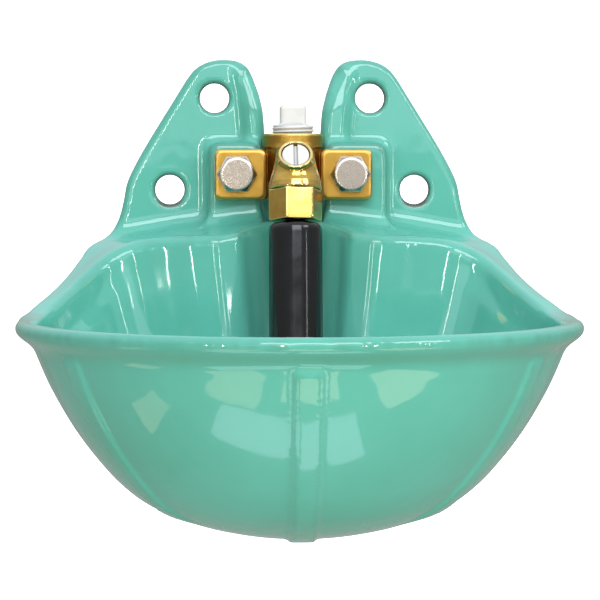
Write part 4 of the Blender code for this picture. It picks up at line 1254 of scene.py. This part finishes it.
@dataclass
class UnionNut:
    """The hexagon nut that holds the tube."""

    flats: float = 22.4
    turn: float = math.radians(8.6)
    low: float = -7.5
    high: float = 7.5
    pitch: float = 0.4

    def shape(self, x: Array, y: Array, z: Array) -> Array:
        """Distance to the nut, in its own upright place.

        Args:
            x, y, z: Across the piece's axis both ways and along it, in millimetres.

        Returns:
            The distance.
        """
        six = hexagon(x, y, self.flats, 0.5)
        reach = np.hypot(x, y)
        corner = np.where(z > 0.0, 12.7, 12.25)
        cone = (reach + (np.abs(z) - self.high) * 0.5 - corner) * 0.89
        whole = meet(meet(six, cone, 0.25), np.abs(z) - self.high, 0.3)
        whole = carve(whole, drum(reach, z, 9.0, -6.3, 20.0, 0.3), 0.3)
        return carve(whole, reach - 5.9 - np.maximum(-6.9 - z, 0.0), 0.3)

    def build(self) -> bpy.types.Object:
        """Build and dress the nut.

        Returns:
            The piece.
        """
        made = skin(self.shape, (-13.2, -13.2, self.low), (13.2, 13.2, self.high), self.pitch, 4)
        place = Axis(NOSE_AXIS.origin, -LEAN, self.turn)
        item = make_piece("tube_nut_brass", made, MACHINED_BRASS, place)
        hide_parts("tube_nut")
        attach(item, "fixed")
        return item


@dataclass
class HangingTube:
    """The black tube with its neck and head."""

    end: float = -101.6
    radius: float = 12.7
    bore: float = 9.5
    shoulder: tuple[tuple[float, float], ...] = (
        (-8.3, 6.0), (-8.42, 8.0), (-8.6, 9.6), (-8.85, 10.6), (-9.2, 11.35), (-9.65, 11.9),
        (-10.2, 12.3), (-10.8, 12.52), (-11.5, 12.66), (-12.3, 12.7), (-13.8, 12.7),
    )

    def build(self) -> bpy.types.Object:
        """Turn and dress the tube.

        Returns:
            The piece.
        """
        profile = [(5.9, -3.15), (6.4, -3.55), (6.4, -4.2), (5.0, -4.2), (5.0, -8.3)]
        profile += [(r, s) for s, r in self.shoulder]
        profile += [(self.radius, s) for s in np.linspace(-20.0, self.end + 2.0, 12)]
        profile += [(self.radius, self.end + 0.9), (self.radius - 0.25, self.end + 0.3)]
        profile += [(self.radius - 0.9, self.end), (self.bore + 0.5, self.end)]
        profile += [(self.bore, self.end + 0.5), (self.bore, -20.0), (3.4, -15.0), (3.4, -3.15)]
        item = piece_from_skin("hanging_tube", lathe(profile, 160), BLACK_TUBE.make())
        item.data.transform(NOSE_AXIS.matrix())
        bevel = item.modifiers.new("edges", "BEVEL")
        bevel.width = 0.12 * MM
        bevel.segments = 2
        bevel.limit_method = "ANGLE"
        bevel.angle_limit = math.radians(38.0)
        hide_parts("actuating_tube")
        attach(item, "tube")
        return item


@dataclass
class AdjustingScrew:
    """The white slotted screw in the boss."""

    top: float = 9.6
    pitch: float = 0.33

    def shape(self, x: Array, y: Array, z: Array) -> Array:
        """Distance to the screw, in its own upright place.

        Args:
            x, y, z: Across the piece's axis both ways and along it, in millimetres.

        Returns:
            The distance.
        """
        reach = np.hypot(x, y)
        head = drum(reach, z, 6.5, 6.0, self.top, 0.9)
        shank = drum(reach, z, 4.0, 0.9, 6.6, 0.8)
        groove = drum(reach, z, 20.0, 2.2, 4.0, 0.2)
        shank = np.maximum(shank, -np.maximum(groove, 2.5 - reach))
        whole = join(head, shank, 0.3)
        slot = np.maximum(np.abs(x) - 0.95, self.top - 1.6 - z)
        return carve(whole, slot, 0.35)

    def build(self) -> bpy.types.Object:
        """Build and dress the screw.

        Returns:
            The piece.
        """
        made = skin(self.shape, (-6.5, -6.5, 0.9), (6.5, 6.5, self.top), self.pitch, 4)
        item = make_piece("adjusting_screw_nylon", made, WHITE_NYLON, SCREW_AXIS)
        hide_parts("adjusting_screw")
        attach(item, "screw")
        return item


@dataclass
class TopPlug:
    """The white plug with a square head in the upper port."""

    square: float = 13.0
    top: float = 18.6
    collar_low: float = 5.1
    collar_high: float = 9.0
    thread_pitch: float = 1.814
    pitch: float = 0.4

    def shape(self, x: Array, y: Array, z: Array) -> Array:
        """Distance to the plug, about the tee's axis.

        Args:
            x, y, z: Across the piece's axis both ways and along it, in millimetres.

        Returns:
            The distance.
        """
        reach = np.hypot(x, y)
        head = meet(np.abs(x) - self.square / 2.0, np.abs(y) - self.square / 2.0, 2.2)
        head = meet(head, np.abs(z - 13.0) - (self.top - 13.0), 1.6)
        turns = z / self.thread_pitch - np.arctan2(y, x) / math.tau
        ridge = np.abs(turns - np.floor(turns) - 0.5) * 2.0
        collar = (reach - 10.45 + 1.0 * ridge) * 0.8
        collar = meet(collar, np.maximum(self.collar_low - z, z - self.collar_high), 0.8)
        thread = drum(reach, z, 9.3, -4.7, 6.0, 1.2)
        whole = join(np.minimum(collar, thread), head, 1.4)
        return carve(whole, drum(reach, z, 6.5, -20.0, 3.8, 0.5), 0.3)

    def build(self) -> bpy.types.Object:
        """Build and dress the plug.

        Returns:
            The piece.
        """
        made = skin(self.shape, (-10.5, -10.5, -4.7), (10.5, 10.5, self.top), self.pitch, 3)
        item = make_piece("top_plug_nylon", made, WHITE_NYLON, Axis((0.0, TEE_Y, 0.0)))
        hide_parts("top_plug")
        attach(item, "fixed")
        return item


@dataclass
class FlangeBolt:
    """A hexagon bolt through the flange into its pad."""

    side: float
    flats: float = 17.0
    head: float = 6.4
    pitch: float = 0.4

    def shape(self, x: Array, y: Array, z: Array) -> Array:
        """Distance to the bolt, in its own upright place with its head up.

        Args:
            x, y, z: Across the piece's axis both ways and along it, in millimetres.

        Returns:
            The distance.
        """
        reach = np.hypot(x, y)
        six = hexagon(x, y, self.flats, 0.4)
        cone = (reach + (z - self.head) * 1.6 - 7.6) * 0.53
        head = meet(meet(six, cone, 0.3), np.maximum(-z, z - self.head), 0.35)
        shank = drum(reach, z, 4.7, -26.0, 1.0, 1.2)
        return join(head, shank, 0.6)

    def build(self) -> bpy.types.Object:
        """Build and dress the bolt.

        Returns:
            The piece.
        """
        made = skin(self.shape, (-9.9, -9.9, -26.0), (9.9, 9.9, self.head), self.pitch, 3)
        name = "bolt_right" if self.side > 0.0 else "bolt_left"
        place = Axis((BOLT_X * self.side, -28.3, BOLT_Z), math.pi / 2)
        item = make_piece(name + "_zinc", made, ZINC_STEEL, place)
        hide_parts(name)
        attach(item, "fixed")
        return item


@dataclass
class ValveSpring:
    """The coil over the valve disc; the real one shortens as the stem lifts, but this one is built
    at one length.
    """

    mean: float = 4.7
    wire: float = 0.35
    low: float = 8.95
    high: float = 14.35
    roof: float = 15.0
    curls: float = 3.0
    lift: float = 0.58
    turns: int = 120
    sides: int = 12

    def build(self) -> bpy.types.Object:
        """Sweep the wire along its helix and dress it.

        Returns:
            The coil, wound at an even pitch from its foot to its top.
        """
        turns, sides = self.turns, self.sides
        angle = np.linspace(0.0, math.tau * self.curls, turns + 1)
        out = np.stack((np.cos(angle), np.sin(angle), np.zeros_like(angle)), axis=1)
        climb = (self.high - self.low) / (math.tau * self.curls)
        run = np.stack((
            -self.mean * np.sin(angle), self.mean * np.cos(angle), np.full_like(angle, climb),
        ), axis=1)
        up = np.cross(out, run / np.linalg.norm(run, axis=1, keepdims=True))
        line = out * self.mean
        line[:, 2] = np.linspace(self.low, self.high, turns + 1)
        points = []
        for side in range(sides):
            around = math.tau * side / sides
            points.append(line + self.wire * (math.cos(around) * out + math.sin(around) * up))
        spots = np.stack(points, axis=1).reshape(-1, 3) * MM
        faces = [
            (here + j, here + (j + 1) % sides, here + sides + (j + 1) % sides, here + sides + j)
            for here in range(0, turns * sides, sides) for j in range(sides)
        ]
        faces += [tuple(range(sides))[::-1], tuple(turns * sides + j for j in range(sides))]
        mesh = bpy.data.meshes.new("valve_spring_wire")
        mesh.from_pydata(spots.tolist(), [], faces)
        mesh.polygons.foreach_set("use_smooth", [len(face) == 4 for face in faces])
        mesh.materials.append(SPRING_WIRE.make())
        place = NOSE_AXIS.matrix()
        mesh.transform(place)
        item = bpy.data.objects.new("valve_spring_wire", mesh)
        bpy.context.scene.collection.objects.link(item)
        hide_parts("valve_spring")
        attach(item, "fixed")
        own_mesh(item)
        return item


def dress_inner_parts() -> None:
    """Give the valve's hidden CAD nodes their finishes."""
    nodes = {
        MACHINED_BRASS: ("seat_ring", "valve_stem", "valve_disc", "stem_nut"),
        RUBBER: ("nut_gasket", "tube_seal_ring", "disc_seal", "screw_o_ring"),
    }
    for finish, names in nodes.items():
        material = finish.make()
        for name in names:
            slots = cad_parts[name].data.materials
            slots.clear()
            slots.append(material)


# The studio.


@dataclass
class Studio:
    """Camera, floor and lights."""

    eye: Point = (-36.4, -1200.0, -14.5)
    yaw: float = 1.93
    pitch_down: float = 3.0
    focal_pixels: float = 2417.0
    floor: float = -0.42
    glow: float = 1.0
    sky_low: Colour = (0.29, 0.30, 0.23, 1.0)
    sky_high: Colour = (1.25, 1.36, 1.54, 1.0)
    # Name, degrees right and up, distance in metres, width and height, watts and colour.
    panels: tuple[tuple[str, float, float, float, tuple[float, float], float, str], ...] = (
        ("window_left", -34.0, -3.0, 2.2, (0.05, 0.70), 4.5, "#FFFDF6"),
        ("lamp_middle", -8.0, 2.0, 2.4, (0.05, 0.80), 4.0, "#FFF4E0"),
        ("window_right", 25.0, -2.0, 2.2, (0.05, 0.50), 3.2, "#FFFDF6"),
        ("doorway_right", 47.0, 4.0, 2.2, (0.03, 0.90), 3.0, "#FFFFFF"),
        ("sky_low", 0.0, 8.0, 2.6, (2.6, 0.55), 8.0, "#E3ECFF"),
        ("sky_front", 4.0, 30.0, 2.2, (1.5, 0.85), 29.0, "#F1F5FF"),
        ("sky_right", 48.0, 30.0, 2.2, (0.8, 0.6), 11.0, "#FFFFFF"),
    )
    # Daylight on the floor: place, width and depth, watts and colour.
    patches: tuple[tuple[float, float, float, float, float, str], ...] = (
        (-0.38, -0.19, 0.10, 0.14, 0.06, "#FFEBC8"), (-0.20, -0.47, 0.16, 0.16, 0.17, "#FFEBC8"),
        (0.02, -0.54, 0.16, 0.20, 0.26, "#FFEBC8"), (0.32, -0.46, 0.22, 0.20, 0.36, "#FFEBC8"),
        (-0.12, -0.33, 0.18, 0.10, 0.14, "#DCEBFF"), (0.06, -0.32, 0.14, 0.12, 0.13, "#DCEBFF"),
    )

    def camera(self) -> None:
        """Set the camera at the photograph's place."""
        data = bpy.data.cameras.new("camera")
        data.sensor_width = 36.0
        data.lens = self.focal_pixels * 36.0 / 600.0
        item = bpy.data.objects.new("camera", data)
        item.location = Vector(self.eye) * MM
        item.rotation_euler = (math.radians(90.0 - self.pitch_down), 0.0, math.radians(-self.yaw))
        bpy.context.scene.collection.objects.link(item)
        bpy.context.scene.camera = item

    def sheet(
        self, name: str, rows: list[tuple[float, float]], sides: tuple[float, float],
        tone: str, glow: float,
    ) -> bpy.types.Object:
        """Lay a plain sheet, as a floor or a backdrop.

        Args:
            name: Name of the sheet.
            rows: Its section as (y, z), in metres.
            sides: Its left and right edges.
            tone: Its colour.
            glow: How bright it shines by itself.

        Returns:
            The sheet.
        """
        points = [(x, y, z) for y, z in rows for x in sides]
        faces = [(2 * i, 2 * i + 1, 2 * i + 3, 2 * i + 2) for i in range(len(rows) - 1)]
        mesh = bpy.data.meshes.new(name)
        mesh.from_pydata(points, [], faces)
        item = bpy.data.objects.new(name, mesh)
        bpy.context.scene.collection.objects.link(item)
        made = bpy.data.materials.new(name)
        made.use_nodes = True
        shader = made.node_tree.nodes["Principled BSDF"]
        shader.inputs["Base Color"].default_value = linear(tone)
        shader.inputs["Roughness"].default_value = 0.9
        shader.inputs["Emission Color"].default_value = (1.0, 1.0, 1.0, 1.0)
        shader.inputs["Emission Strength"].default_value = glow
        mesh.materials.append(made)
        return item

    def ground(self) -> None:
        """Lay a pale floor, and stand a lit white backdrop behind the object."""
        self.sheet("floor", [(-6.0, self.floor), (6.0, self.floor)], (-6.0, 6.0), "#9C978B", 0.0)
        low = self.floor + 0.002
        rows = [(1.0, low), (3.0, low), (3.6, low + 0.1), (3.9, low + 0.35), (4.05, 0.44)]
        backdrop = self.sheet("backdrop", rows, (-3.0, 3.0), "#E8E8E8", self.glow)
        # White behind the object, but not mirrored at its edges.
        backdrop.visible_glossy = False
        backdrop.visible_diffuse = False

    def panel(
        self, name: str, turn: float, lift: float, away: float, size: tuple[float, float],
        watts: float, tone: str,
    ) -> bpy.types.Object:
        """Hang a soft light that faces the bowl.

        Args:
            name: Name of the light.
            turn: Degrees to the right of straight in front.
            lift: Degrees above the bowl.
            away: Distance from it.
            size: Width and height.
            watts: Power.
            tone: Colour.

        Returns:
            The light.
        """
        data = bpy.data.lights.new(name, "AREA")
        data.shape = "RECTANGLE"
        data.size, data.size_y = size
        data.energy = watts
        data.color = linear(tone)[:3]
        across, high = math.radians(turn), math.radians(lift)
        middle = Vector((0.0, -0.06, -0.07))
        flat = math.cos(high)
        out = Vector((math.sin(across) * flat, -math.cos(across) * flat, math.sin(high)))
        item = bpy.data.objects.new(name, data)
        item.location = middle + out * away
        item.rotation_euler = out.to_track_quat("Z", "Y").to_euler()
        item.visible_camera = False
        bpy.context.scene.collection.objects.link(item)
        return item

    def lights(self) -> None:
        """Set the sky, the panels above and at both sides, and the patches on the floor."""
        world = bpy.data.worlds.new("studio")
        world.use_nodes = True
        tree = world.node_tree
        where = add_node(tree, "ShaderNodeTexCoord").outputs["Generated"]
        up = add_node(tree, "ShaderNodeSeparateXYZ", None, {"Vector": where}).outputs["Z"]
        share = add_node(tree, "ShaderNodeMapRange", {"interpolation_type": "SMOOTHSTEP"}, {
            "Value": up, "From Min": -0.2, "From Max": 0.9,
        }).outputs["Result"]
        glow = add_node(tree, "ShaderNodeMix", {"data_type": "RGBA"}, {
            "Factor": share, 6: self.sky_low, 7: self.sky_high,
        }).outputs[2]
        tree.links.new(glow, tree.nodes["Background"].inputs["Color"])
        bpy.context.scene.world = world
        bpy.context.scene.view_settings.view_transform = "Standard"
        for settings in self.panels:
            self.panel(*settings)
        # The front of the bowl mirrors these.
        for index, (x, y, width, depth, watts, tone) in enumerate(self.patches):
            patch = self.panel(f"patch_{index + 1}", 0.0, 0.0, 1.0, (width, depth), watts, tone)
            patch.location = (x, y, self.floor + 0.004)
            patch.rotation_euler = (math.pi, 0.0, 0.0)


def main() -> None:
    """Build every piece in order."""
    logging.basicConfig(level=logging.INFO, format="%(message)s")
    studio = Studio()
    studio.camera()
    builders = (
        BowlCasting(), ValveBody(), UnionNut(), HangingTube(), AdjustingScrew(), TopPlug(),
        ValveSpring(), FlangeBolt(1.0), FlangeBolt(-1.0),
    )
    for builder in builders:
        item = builder.build()
        LOG.info("%s: %d faces", item.name, len(item.data.polygons))
    dress_inner_parts()
    studio.ground()
    studio.lights()


if __name__ == "__main__":
    main()
